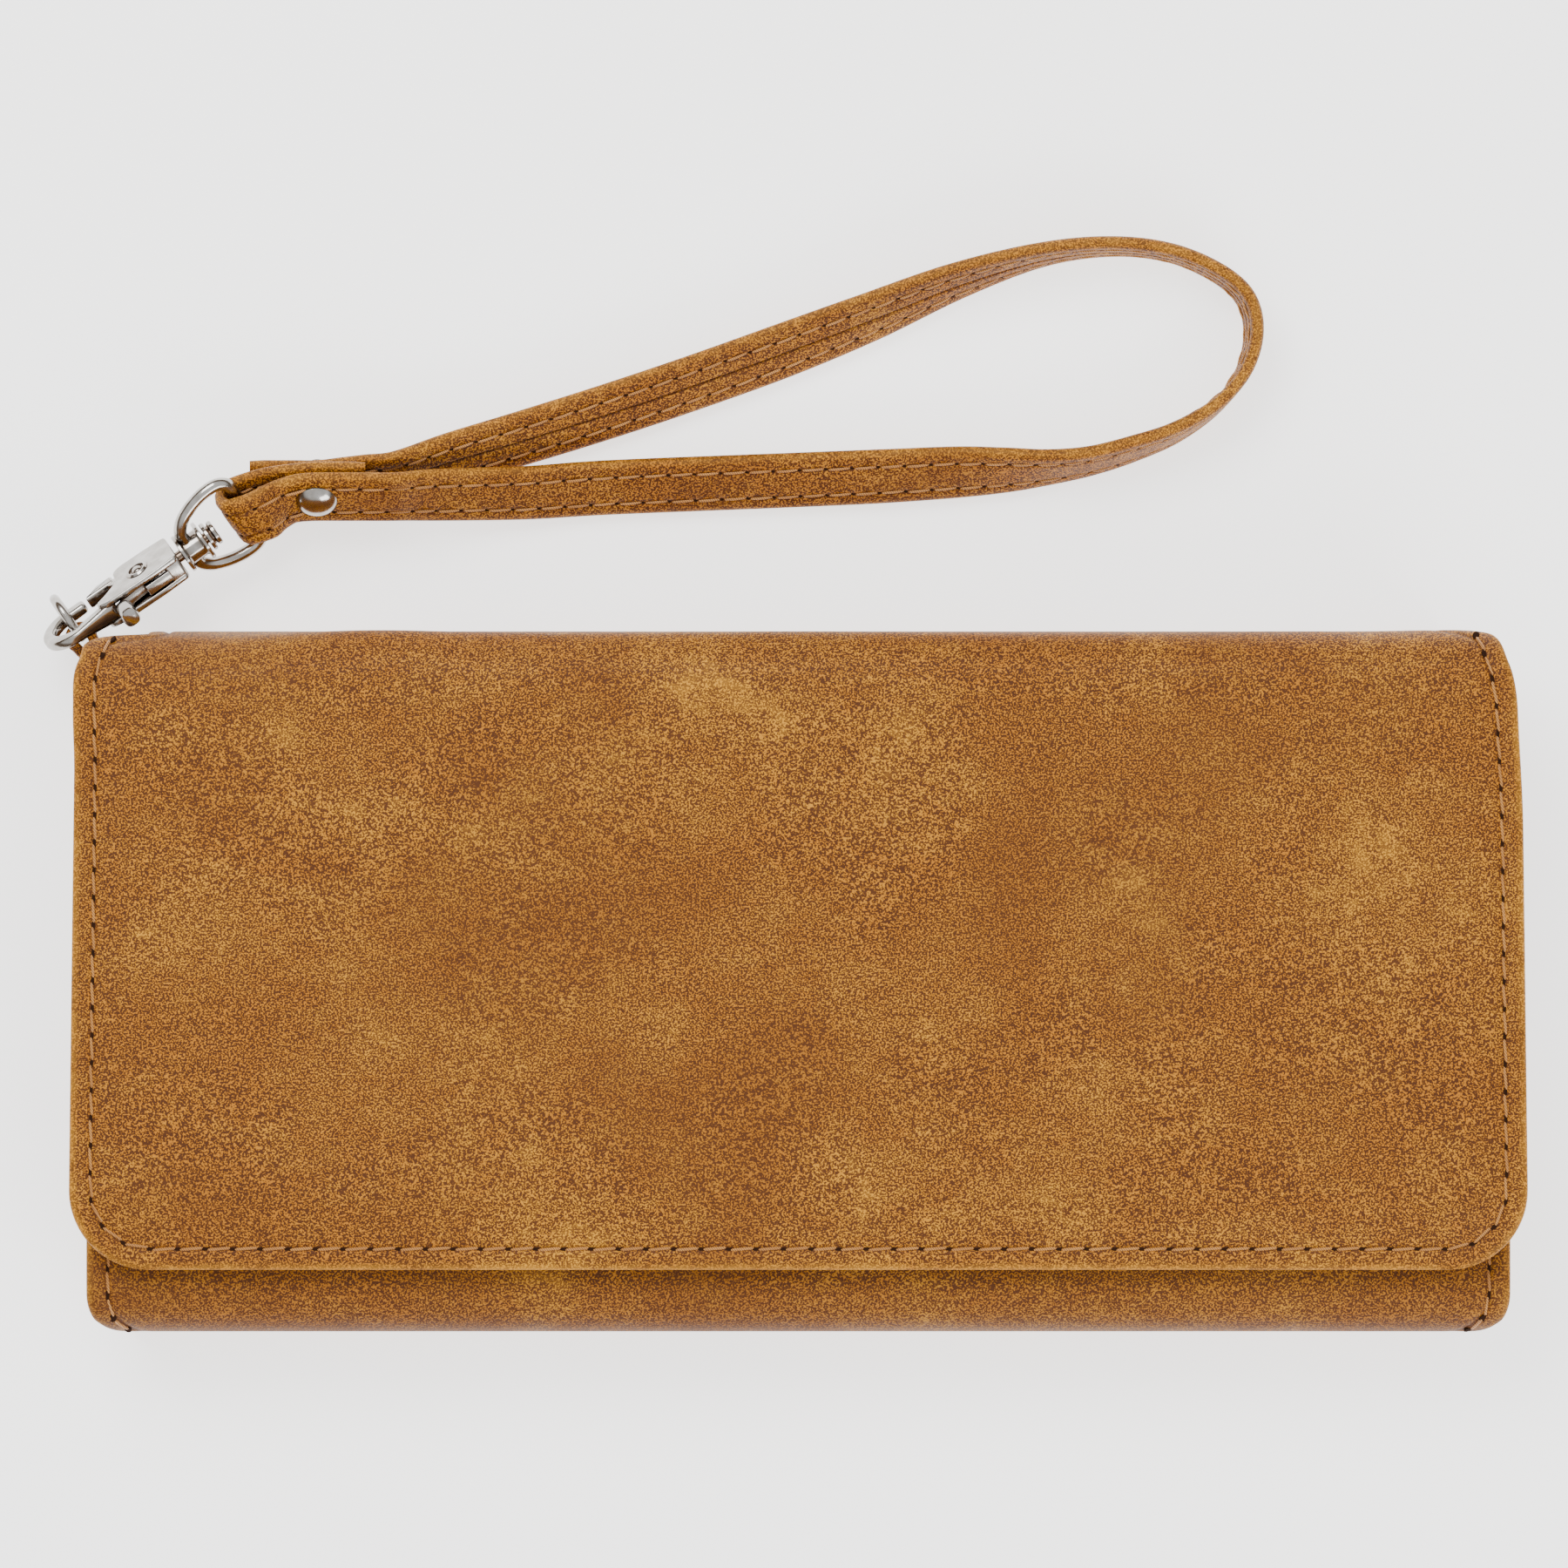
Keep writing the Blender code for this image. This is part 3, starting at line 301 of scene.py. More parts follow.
LEATHER = leather("tan_leather", linear(78, 38, 3), linear(97, 52, 9), linear(185, 115, 25),
                  linear(221, 154, 37))
STRAP_LEATHER = leather("strap_leather", linear(76, 36, 4), linear(97, 51, 10), linear(185, 115, 27),
                        linear(215, 149, 40), patch=17.0)
LINING = lining_cloth("lining_cloth", linear(96, 62, 34), linear(150, 106, 66))
POUCH = lining_cloth("pouch_cloth", linear(84, 54, 30), linear(132, 92, 56), 0.7)
POCKET = leather("pocket_leather", linear(70, 33, 6), linear(96, 50, 10), linear(144, 84, 20),
                 linear(174, 112, 32), patch=15.0)
TAPE = tape_cloth("zip_tape_cloth", linear(70, 42, 20), linear(112, 70, 36))
BOARD = paperboard()
NICKEL = metal("nickel_plate", (0.46, 0.44, 0.415, 1), (0.33, 0.308, 0.28, 1), 0.12)
ZIP_METAL = metal("zip_plate", (0.80, 0.72, 0.55, 1), (0.55, 0.46, 0.31, 1), 0.24)
STEEL = metal("spring_wire", (0.62, 0.62, 0.63, 1), (0.42, 0.42, 0.43, 1), 0.28)
THREAD = thread("thread", linear(138, 82, 28), linear(212, 152, 76))
HOLE_SHADE = needle_hole_shade()


# ---- mesh helpers

def box_mm(node):
    """A node's lowest and highest corners at rest, in millimetres."""
    return [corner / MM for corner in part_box(node)]


def seat(item, body, slot, *nodes):
    """Gives a piece its body and hides the CAD nodes that it stands for; slot is not used."""
    if nodes:
        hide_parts(*nodes)
    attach(item, body)
    return item


def bridge(item, slot, body, y, turn, *nodes):
    """Hides the CAD nodes that a piece crossing a fold stands for, and bakes its place into its mesh; slot,
    body, y and turn are not used.
    """
    if nodes:
        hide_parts(*nodes)
    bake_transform(item)


def mesh_object(name, verts, faces, material, smooth_angle=60.0):
    """An object from points in millimetres, with its normals outward."""
    mesh = bpy.data.meshes.new(name)
    mesh.from_pydata([tuple(v) for v in np.asarray(verts, float) * MM], [], faces)
    mesh.materials.append(material)
    item = bpy.data.objects.new(name, mesh)
    bpy.context.scene.collection.objects.link(item)
    work = bmesh.new()
    work.from_mesh(mesh)
    bmesh.ops.recalc_face_normals(work, faces=work.faces)
    work.to_mesh(mesh)
    work.free()
    mesh.shade_smooth()
    mesh.set_sharp_from_angle(angle=math.radians(smooth_angle))
    return item


def sheet_faces(rows, count):
    """Faces of a closed sheet: a grid of rows by count points above, the same below, and its rim."""
    total = rows * count
    faces = []
    for r in range(rows - 1):
        for a in range(r * count, r * count + count - 1):
            faces.append((a, a + 1, a + count + 1, a + count))
            faces.append((total + a, total + a + count, total + a + count + 1, total + a + 1))
    loop = list(range(count)) + [r * count + count - 1 for r in range(1, rows)]
    loop += [(rows - 1) * count + c for c in range(count - 2, -1, -1)]
    loop += [r * count for r in range(rows - 2, 0, -1)]
    return faces + [(b, a, total + a, total + b) for a, b in zip(loop, loop[1:] + loop[:1])]


def tube_faces(rings, size, closed=False, base=0):
    """Faces from ring to ring, with a cap at each end unless the last meets the first."""
    faces = []
    for k in range(rings if closed else rings - 1):
        here, there = base + k * size, base + (k + 1) % rings * size
        for c in range(size):
            d = (c + 1) % size
            faces.append((here + c, here + d, there + d, there + c))
    if not closed:
        faces += [tuple(first + c for c in range(size)) for first in (base, base + (rings - 1) * size)]
    return faces


def float_attribute(item, name, values):
    layer = item.data.attributes.new(name, "FLOAT", "POINT")
    layer.data.foreach_set("value", np.asarray(values, np.float32))


def arc(centre, size, first, step, count):
    """Points round an ellipse, at every step degrees from first."""
    angles = [math.radians(first + step * k) for k in range(count)]
    return [(centre[0] + size[0] * math.cos(a), centre[1] + size[1] * math.sin(a)) for a in angles]


def spaced(*spans):
    """Numbers from several (first, last, count) spans in one list."""
    return [value for span in spans for value in np.linspace(*span)]


def ease(value, low, high):
    """0 up to low, 1 from high, and a smooth step between."""
    share = np.clip((np.asarray(value, float) - low) / (high - low), 0, 1)
    return share * share * (3 - 2 * share)


class Profile:
    """A line in the YZ plane that a panel is wrapped along, and its outward normal."""

    def __init__(self, corners, side=1, step=0.2):
        points = []
        for (y, z, radius), before, after in zip(corners[1:-1], corners, corners[2:]):
            here = Vector((y, z))
            back = (Vector(before[:2]) - here).normalized()
            on = (Vector(after[:2]) - here).normalized()
            centre = here + (back + on) * radius
            start, end = here + back * radius, here + on * radius
            a, b = start - centre, end - centre
            for k in range(13):
                t = math.radians(90) * k / 12
                points.append(centre + a * math.cos(t) + b * math.sin(t))
        points = [Vector(corners[0][:2])] + points + [Vector(corners[-1][:2])]
        points = np.array([tuple(p) for p in points])
        run = np.concatenate([[0], np.cumsum(np.linalg.norm(np.diff(points, axis=0), axis=1))])
        self.length = run[-1]
        self.s = np.linspace(0, run[-1], int(run[-1] / step) + 1)
        self.y = np.interp(self.s, run, points[:, 0])
        self.z = np.interp(self.s, run, points[:, 1])
        ty, tz = np.gradient(self.y), np.gradient(self.z)
        size = np.hypot(ty, tz)
        self.ny, self.nz = side * tz / size, -side * ty / size

    def at(self, s):
        return [np.interp(s, self.s, values) for values in (self.y, self.z, self.ny, self.nz)]

    def where(self, y=None, z=None, after=0.0):
        """The distance along the line of its first point past after at that y or z."""
        wanted, values = (y, self.y) if y is not None else (z, self.z)
        for k in range(1, len(self.s)):
            low, high = sorted((values[k - 1], values[k]))
            if self.s[k] > after and low <= wanted <= high:
                return self.s[k]
        return self.length


def width_at(half, s):
    """A half-width function's value at one place."""
    return float(half(np.array([s]))[0])


def insets(reach, middle):
    """Distances in from an edge: close together over the stitching, then wide."""
    near = [0, 0.12, 0.35, 0.7, 1.2, 1.8, 2.3, 2.65, 2.9, 3.05, 3.2, 3.45, 3.8, 4.3, 5.0, 6.0, 7.2, 8.6, 10.2]
    near = [value for value in near if value < reach - 0.5 * middle]
    count = max(int((reach - near[-1]) / middle), 1)
    return near + [near[-1] + (reach - near[-1]) * (k + 1) / count for k in range(count)]


class Panel:
    """A sheet of varying width wrapped along a profile."""

    def __init__(self, profile, half_width, start=0.0, end=None, extra_rows=(), shift=None):
        self.profile = profile
        self.start = start
        self.end = profile.length if end is None else end
        self.half = half_width
        self.extra = extra_rows
        self.shift = shift
        edge_s = np.linspace(self.start, self.end, 1400)
        edge_x = half_width(edge_s)
        line = [(x, s) for x, s in zip(edge_x, edge_s)]
        for s in (self.start, self.end):
            reach = width_at(half_width, s)
            line += [(x, s) for x in np.linspace(0, reach, 260)]
        self.tree = kdtree.KDTree(len(line))
        for k, (x, s) in enumerate(line):
            self.tree.insert((x, s, 0), k)
        self.tree.balance()

    def depth(self, x, s):
        """How far in from the sheet's edge a point is."""
        return np.array([self.tree.find((abs(a), b, 0))[2] for a, b in zip(x, s)])

    def place(self, x, s, h):
        y, z, ny, nz = self.profile.at(s)
        y, z = y + ny * h, z + nz * h
        if self.shift:
            x, y, z = self.shift(x, y, z)
        return np.stack([x, y, z], axis=1)

    def rows(self, middle):
        half = (self.end - self.start) / 2
        low = [self.start + d for d in insets(half, middle)]
        high = [self.end - d for d in insets(half, middle)]
        values = sorted(low + high + [s for s in self.extra if self.start < s < self.end])
        kept = [values[0]]
        for value in values[1:]:
            if value - kept[-1] > 0.08:
                kept.append(value)
        kept[-1] = self.end
        return np.array(kept)

    def build(self, name, outer, inner, material, middle):
        """A closed sheet between two heights, each a function of depth, x and s."""
        rows = self.rows(middle)
        widest = float(self.half(rows).max())
        offsets = np.array(insets(widest, middle))
        share = offsets / widest
        grid_x, grid_s = [], []
        for s in rows:
            reach = width_at(self.half, s)
            inset = np.minimum(offsets * (1 - share) + share * offsets * reach / widest, reach)
            x = reach - inset
            line = np.concatenate([-x, x[::-1][1:]])
            grid_x.append(line)
            grid_s.append(np.full(len(line), s))
        count = len(grid_x[0])
        x, s = np.concatenate(grid_x), np.concatenate(grid_s)
        d = self.depth(x, s)
        border = np.zeros((len(rows), count), bool)
        border[[0, -1], :] = True
        border[:, [0, -1]] = True
        d[border.ravel()] = 0
        top = self.place(x, s, outer(d, x, s))
        bottom = self.place(x, s, inner(d, x, s))
        faces = sheet_faces(len(rows), count)
        item = mesh_object(name, np.concatenate([top, bottom]), faces, material)
        # Rim attribute: painted highlight with rubbed wear near the cut edge; groove attribute: darker along
        # the sewn groove.
        rim_wear_and_highlight = np.concatenate([1 - ease(d, 0.1, 1.3), 1 - ease(d, 0.1, 1.3)])
        groove = np.concatenate([0.55 * np.exp(-((d - 3.05) / 0.30) ** 2)] * 2)
        float_attribute(item, "rim_wear_and_highlight", 0.55 * rim_wear_and_highlight)
        float_attribute(item, "groove", groove)
        return item


def resampled(points, pitch):
    """Points a whole number of equal steps, close to pitch, along a line."""
    points = np.asarray(points, float)
    run = np.concatenate([[0], np.cumsum(np.linalg.norm(np.diff(points, axis=0), axis=1))])
    count = max(int(round(run[-1] / pitch)), 1)
    at = np.linspace(0, run[-1], count + 1)
    return np.stack([np.interp(at, run, points[:, k]) for k in range(points.shape[1])], axis=1)


def ahead_at(points, k):
    """The way a line of points runs at one of them."""
    return points[min(k + 1, len(points) - 1)] - points[max(k - 1, 0)]


def capsule(points, radii, up, sides=6):
    """Verts and faces of a closed tube through points."""
    verts = []
    for k, point in enumerate(points):
        ahead = ahead_at(points, k).normalized()
        across = ahead.cross(up).normalized()
        rise = across.cross(ahead).normalized()
        for side in range(sides):
            angle = 2 * math.pi * side / sides
            verts.append(point + (across * math.cos(angle) + rise * math.sin(angle)) * radii[k])
    return verts, tube_faces(len(points), sides)


class Stitching:
    """Threads, and dark plugs of painted shade at the needle holes, gathered into two meshes."""

    def __init__(self):
        self.threads = ([], [])
        self.holes = ([], [])

    def add(self, store, verts, faces):
        base = len(store[0])
        store[0].extend(verts)
        store[1].extend([tuple(base + k for k in face) for face in faces])

    def run(self, holes, normals, radius=0.24, lean=0.19, hole=0.56):
        """Threads between neighbouring holes, each leaning a little across the row."""
        holes = [Vector(h) for h in holes]
        normals = [Vector(n).normalized() for n in normals]
        for k, (a, b) in enumerate(zip(holes, holes[1:])):
            up = (normals[k] + normals[k + 1]).normalized()
            along = b - a
            across = along.normalized().cross(up)
            wobble = random.uniform(-0.05, 0.05)
            points, radii = [], []
            for t in (0.13, 0.18, 0.28, 0.5, 0.74, 0.88, 0.95):
                rise = 0.30 * math.sin(math.pi * (t - 0.06) / 0.94) ** 0.6 - 0.17
                points.append(a + along * t + across * ((0.5 - t) * 2 * lean + wobble) + up * rise)
                radii.append(radius * (0.6 if t in (0.13, 0.95) else 1.0))
            self.add(self.threads, *capsule(points, radii, up))
        for point, up in zip(holes, normals):
            side = ahead_at(holes, holes.index(point)).normalized()
            turn = side.cross(up).normalized()
            side = (side + turn * 0.45).normalized()
            turn = side.cross(up).normalized()
            # Each hole is a dark plug just proud of the surface, painted shade for the hole's inside.
            rim = [point + side * math.cos(a) * hole * 1.35 + turn * math.sin(a) * hole * 0.9
                   for a in (2 * math.pi * k / 8 for k in range(8))]
            verts = [v + up * 0.05 for v in rim] + [v - up * 0.3 for v in rim] + [point + up * 0.09]
            faces = [(k, (k + 1) % 8, 16) for k in range(8)]
            faces += [(k, 8 + k, 8 + (k + 1) % 8, (k + 1) % 8) for k in range(8)]
            faces.append(tuple(range(8, 16)))
            self.add(self.holes, verts, faces)

    def build(self, name):
        return [mesh_object(name + "_thread", *self.threads, THREAD),
                mesh_object(name + "_holes", *self.holes, HOLE_SHADE)]

    def seat(self, name, body, slot):
        for item in self.build(name):
            seat(item, body, slot)


# ---- wallet shell

TOP_Y = 50.2
BOTTOM_Y = -50.5
SEAM_Z = 9.5
FRONT_Z = 20.2
FLAP_Z = 26.0
FLAP_END_Y = -41.5
FLAP_CORNER = 11.6
BACK_HALF = 102.4
FLAP_HALF = 103.7
FRONT_HALF = 102.3
LOW_SPINE_HALF = 96.6
HIGH_SPINE_HALF = 93.6
STITCH_INSET = 3.05
STITCH_PITCH = 3.94
EDGE_AT = [0, 0.12, 0.35, 0.7, 1.2]
GROOVE_DEPTH = 0.30
GROOVE_WIDTH = 0.42
COVER_TURN = (18.3, 24.2)
LINING_TURN = (17.0, 22.2)
FRONT_TURN = (11, 18.6)
FRONT_LINING_TURN = (9.5, 16.4)
SKIN_STEP = 1.8
LINING_STEP = 2.6
RELIEF_SIZE = 34.0
CURL = 1.25
CURL_Y = (30.5, 41.5)

cover = Profile([(BOTTOM_Y, SEAM_Z), (BOTTOM_Y, 0, 2.2), (TOP_Y, 0, 2.2), (TOP_Y, FLAP_Z, 7.0),
                 (FLAP_END_Y, FLAP_Z)])
front = Profile([(BOTTOM_Y, SEAM_Z), (BOTTOM_Y, FRONT_Z, 6.5), (40.0, FRONT_Z)], side=-1)


def corner_inset(distance, size):
    """How far a rounded corner pulls in, that far along from where it starts."""
    wide, long = size
    share = np.clip(distance / long, 0, 1)
    return wide * (1 - np.sqrt(np.clip(1 - share ** 2, 0, 1)))


FOLD_S = cover.where(z=15.0, after=120.0)
FLAP_S = cover.where(y=43.2, after=FOLD_S + 1)
BACK_LOW_S = cover.where(y=-48.3)
BACK_HIGH_S = cover.where(y=48.0, after=BACK_LOW_S + 20)
COVER_END = cover.length


def cover_half(s):
    """Half width along the cover: spine, back with rounded corners, fold and flap."""
    s = np.asarray(s, float)
    y = np.interp(s, cover.s, cover.y)
    back = BACK_HALF - corner_inset(-42.0 - y, (6.5, 8.5)) - corner_inset(y - 39.0, (9.2, 11.2))
    spine = np.where(s < 100, LOW_SPINE_HALF, HIGH_SPINE_HALF)
    flap = FLAP_HALF + 1.15 * (TOP_Y - y) / 92.0 - corner_inset(y - 38.6, (5.8, 11.9))
    flap = flap - corner_inset(s - (COVER_END - FLAP_CORNER), (FLAP_CORNER, FLAP_CORNER))
    share = ease(s, FOLD_S + 1.5, FOLD_S + 6.8)
    on_back = (s > BACK_LOW_S) & (s < BACK_HIGH_S)
    rest = np.where(on_back, np.maximum(back, HIGH_SPINE_HALF), spine)
    return np.where(s > FOLD_S - 3.0, rest * (1 - share) + flap * share, rest)


def cover_shift(x, y, z):
    """The slack of the top fold, and the flap's free edge curling onto the front."""
    fold = ease(y, 38.0, 50.0)
    dip = 0.9 * np.exp(-((x + 84) / 13) ** 2) - 0.35 * np.exp(-((x + 60) / 10) ** 2)
    dip = dip + 0.25 * np.sin(x / 23.0) ** 2 - 0.45 * ease(x, 78, 96) - 0.2 * ease(-x, 94, 100)
    y = y - fold * ease(z, 14.0, 22.0) * dip
    curl = ease(-y, *CURL_Y) * (z > 21.0)
    out = 0.3 + 0.7 * ease(y, 39, 46) + 1.3 * ease(y, 46, 50)
    x = x - out * ease(y, 30, 39) * ease(-x, 84, 99) * ease(z, 20.5, 23.5)
    x = x - 0.6 * ease(y, 22, 42) * (1 - ease(y, 46, 49.5)) * ease(x, 84, 99) * ease(z, 20.5, 23.5)
    return x, y, z - CURL * curl


def relief(d, x, s):
    """Uneven fullness inside the stitching."""
    places = [Vector((a / RELIEF_SIZE, b / RELIEF_SIZE, 3.7)) for a, b in zip(x, s)]
    return 0.22 * np.array([noise.fractal(place, 0.9, 2.0, 3) for place in places]) * ease(d, 2.6, 14.0)


def sewn_edge(d):
    """Height of the skin near its cut edge: rounded, a flat margin, then the sewn groove."""
    height = np.interp(d, EDGE_AT, [-0.62, -0.34, -0.14, -0.03, 0.0])
    return height - GROOVE_DEPTH * np.exp(-((d - STITCH_INSET) / GROOVE_WIDTH) ** 2)


def cover_outer(d, x, s):
    """The sewn edge, then fullness over the board."""
    return sewn_edge(d) + 0.30 * ease(d, 3.3, 8.0) * flat(s) + relief(d, x, s) * flat(s)


def cover_inner(d, x, s):
    return np.interp(d, EDGE_AT + [3.6, 5.0], [-0.78, -1.05, -1.25, -1.38, -1.4, -1.4, -1.0])


def flat(s):
    """0.3 on the back and 1 on the flap, where a board lies under the leather."""
    s = np.asarray(s, float)
    back = ease(s, BACK_LOW_S, BACK_LOW_S + 5) * (1 - ease(s, BACK_HIGH_S - 5, BACK_HIGH_S))
    return back * 0.3 + ease(s, FLAP_S - 4, FLAP_S + 6)


def build_cover():
    dense = spaced((FOLD_S - 3, FLAP_S + 6, 36), (BACK_LOW_S - 5, BACK_LOW_S + 2, 12),
                   (BACK_HIGH_S - 1, BACK_HIGH_S + 6, 12))
    dense += [COVER_END - FLAP_CORNER * (1 - math.cos(math.radians(a))) for a in range(2, 91, 4)]
    panel = Panel(cover, cover_half, extra_rows=dense, shift=cover_shift)
    item = panel.build("cover_leather", cover_outer, cover_inner, LEATHER, SKIN_STEP)
    bridge(item, "leather", "flap", TOP_Y, COVER_TURN, "back_skin", "top_spine_skin", "flap_skin")
    return panel


def mirrored(right):
    """A stitched line up one side and back down the other."""
    return right + [(-x, s) for x, s in reversed(right)]


def surface_run(panel, path, outer, pitch=STITCH_PITCH):
    """Hole positions and normals for a stitched line on a panel's outer face."""
    holes = resampled(path, pitch)
    x, s = holes[:, 0], holes[:, 1]
    d = panel.depth(x, s)
    on = panel.place(x, s, outer(d, x, s) + 0.02)
    above = panel.place(x, s, outer(d, x, s) + 1.0)
    return on, above - on


def flap_stitch_path():
    """Down one side of the flap, round its corners and up the other."""
    side = [(width_at(cover_half, s) - STITCH_INSET, s)
            for s in np.arange(FLAP_S - 7.6, COVER_END - FLAP_CORNER, 0.5)]
    radius = FLAP_CORNER - STITCH_INSET
    centre_s = COVER_END - FLAP_CORNER
    reach = width_at(cover_half, centre_s) - FLAP_CORNER
    return mirrored(side + arc((reach, centre_s), (radius, radius), 0, 6, 16))


def back_stitch_path(sign):
    return [(sign * (width_at(cover_half, s) - STITCH_INSET), s)
            for s in np.arange(BACK_LOW_S + 1.0, BACK_HIGH_S - 1.0, 0.5)]


def build_cover_stitches(panel):
    work = Stitching()
    work.run(*surface_run(panel, flap_stitch_path(), cover_outer))
    for item in work.build("flap_stitch"):
        bridge(item, "leather", "flap", TOP_Y, COVER_TURN)
    work = Stitching()
    for sign in (-1, 1):
        work.run(*surface_run(panel, back_stitch_path(sign), cover_outer))
    work.seat("back_stitch", "body", "leather")


FRONT_LOW_S = front.where(z=16.5)


def front_half(s):
    """Half width along the front, from the bottom fold to the free edge."""
    s = np.asarray(s, float)
    y = np.interp(s, front.s, front.y)
    body = FRONT_HALF - corner_inset(-45.0 - y, (3.2, 5.6)) - corner_inset(y - 35.0, (5.0, 5.0))
    share = ease(s, FRONT_LOW_S - 4, FRONT_LOW_S + 2)
    return (LOW_SPINE_HALF + 2.4 * ease(s, 1.0, FRONT_LOW_S)) * (1 - share) + body * share


def front_outer(d, x, s):
    return sewn_edge(d) + 0.25 * ease(d, 3.3, 9.0) * ease(s, 10, 18) + relief(d, x + 300, s) * ease(s, 4, 16)


def build_front():
    panel = Panel(front, front_half, extra_rows=spaced((3, 20, 30)))
    item = panel.build("front_leather", front_outer, cover_inner, LEATHER, SKIN_STEP)
    # Painted shade: the strip below the flap's edge and the bottom fold go darker through the groove
    # attribute.
    groove = np.zeros(len(item.data.vertices), np.float32)
    item.data.attributes["groove"].data.foreach_get("value", groove)
    y = np.array([v.co.y for v in item.data.vertices]) / MM
    item.data.attributes["groove"].data.foreach_set("value", (groove + 0.26 * ease(-y, 34, 40)
                                                        + 0.3 * ease(-y, 47.6, 50.0)).astype(np.float32))
    bridge(item, "leather", "front_panel", BOTTOM_Y, FRONT_TURN, "front_skin", "bottom_spine_skin")
    path = [(width_at(front_half, s) - STITCH_INSET, s) for s in np.arange(6.0, front.length - 5.0, 0.5)]
    reach, top = path[-1][0] - 2.0, front.length - STITCH_INSET
    path = mirrored(path + [(reach + 1.4, top - 0.6), (reach, top)])
    work = Stitching()
    work.run(*surface_run(panel, path, front_outer))
    for made in work.build("front_stitch"):
        bridge(made, "leather", "front_panel", BOTTOM_Y, FRONT_TURN)


# ---- linings, boards and pockets

def over_board(share, rounding):
    """Face heights of a lining that lies on the leather at its edge and on the board inside."""
    def outer(d, x, s):
        return -1.50 - 0.95 * ease(d, 1.4, 4.6) * share(s)

    def inner(d, x, s):
        return outer(d, x, s) - 0.5 + rounding * np.interp(d, [0, 0.12, 0.35], [0.35, 0.1, 0.0])
    return outer, inner


def boarded(s):
    """1 where a lining lies over a board."""
    s = np.asarray(s, float)
    back = ease(s, BACK_LOW_S + 3, BACK_LOW_S + 8) * (1 - ease(s, BACK_HIGH_S - 8, BACK_HIGH_S - 3))
    return back + ease(s, FLAP_S - 3.5, FLAP_S + 0.5)


def build_linings():
    dense = spaced((FOLD_S - 3, FLAP_S + 9, 30), (BACK_LOW_S - 5, BACK_LOW_S + 8, 12),
                   (BACK_HIGH_S - 9, BACK_HIGH_S + 6, 14))
    panel = Panel(cover, lambda s: cover_half(s) - 0.9, start=6.0, end=COVER_END - 0.9, extra_rows=dense,
                  shift=cover_shift)
    item = panel.build("cover_lining", *over_board(boarded, 0.5), LINING, LINING_STEP)
    bridge(item, "lining", "flap", TOP_Y, LINING_TURN, "back_lining", "top_spine_lining", "flap_lining")
    panel = Panel(front, lambda s: front_half(s) - 0.9, start=1.0, end=front.length - 0.9,
                  extra_rows=spaced((3, 22, 24)))
    faces = over_board(lambda s: ease(s, 14, 19), 0)
    item = panel.build("front_inner_lining", *faces, LINING, LINING_STEP)
    bridge(item, "lining", "front_panel", BOTTOM_Y, FRONT_LINING_TURN, "front_lining", "bottom_spine_lining")


HEM_WIDTH = 4.0


def sheet_panel(name, box, corner, material, top_hem=0.0, shift=None):
    """A flat rounded sheet that fills a box, with a folded hem along its high edge."""
    (x0, y0, inner_z), (x1, y1, outer_z) = box
    line = Profile([(y0, 0), (y1, 0)], side=-1)
    half = (x1 - x0) / 2
    low_corner, high_corner = corner

    def width(s):
        s = np.asarray(s, float)
        return half - corner_inset(low_corner - s, (low_corner, low_corner)) \
            - corner_inset(s - (line.length - high_corner), (high_corner, high_corner))

    def edge(d):
        return np.interp(d, [0, 0.12, 0.35], [0.45, 0.15, 0.0]) * (outer_z - inner_z)

    def outer(d, x, s):
        hem = top_hem * ease(s, line.length - HEM_WIDTH, line.length - HEM_WIDTH + 0.5)
        return outer_z + hem - edge(d) + 0.06 * np.sin(x / 9.0) * ease(d, 2, 12)

    def inner(d, x, s):
        return inner_z + edge(d) + 0.06 * np.sin(x / 9.0) * ease(d, 2, 12)
    rows = [line.length - HEM_WIDTH + k * 0.25 for k in range(-1, 4)]
    panel = Panel(line, width, extra_rows=rows, shift=shift)
    return panel, panel.build(name, outer, inner, material, LINING_STEP), outer


FLAP_BOARD = ((-100.2, -37.0, 23.9), (100.2, 43.0, 24.6))


def build_boards():
    def droop(x, y, z):
        return x, y, z - CURL * ease(-y, *CURL_Y)
    item = sheet_panel("flap_stiffener", FLAP_BOARD, (7.0, 4.0), BOARD, shift=droop)[1]
    seat(item, "flap", "board", "flap_board")
    for name in ("back_board", "front_board"):
        NODES[name].data.materials[0] = BOARD


def turned_over(box):
    """A shift that turns a sheet over within its box, so that it faces down."""
    total = box[0].z + box[1].z
    return lambda x, y, z: (x, y, total - z)


def build_pocket(name, node, body, facing):
    """A card pocket: a sheet with a folded, sewn top edge, facing up or down."""
    box = box_mm(node)
    shift = turned_over(box) if facing < 0 else None
    panel, item, outer = sheet_panel(name, box, (2.0, 3.0), POCKET, top_hem=0.16, shift=shift)
    seat(item, body, "lining", node)
    (x0, y0, _), (x1, y1, _) = box
    length = y1 - y0
    work = Stitching()
    row = [(x, length - 3.2) for x in np.arange(x0 + 2.5, x1 - 2.4, 1.0)]
    work.run(*surface_run(panel, row, outer, 3.4), radius=0.16, lean=0.08, hole=0.2)
    for x in (x0 + 1.8, -0.001, x1 - 1.8):
        column = [(x, s) for s in np.arange(2.0, length - 4.2, 1.0)]
        work.run(*surface_run(panel, column, outer, 3.4), radius=0.14, lean=0.06, hole=0.18)
    work.seat(name + "_stitch", body, "lining")


def build_pockets():
    for side, body, facing in (("back", "body", 1), ("front", "front_panel", -1)):
        for tier in (1, 2, 3):
            build_pocket(f"{side}_pocket_{tier}", f"{side}_card_pocket_{tier}", body, facing)


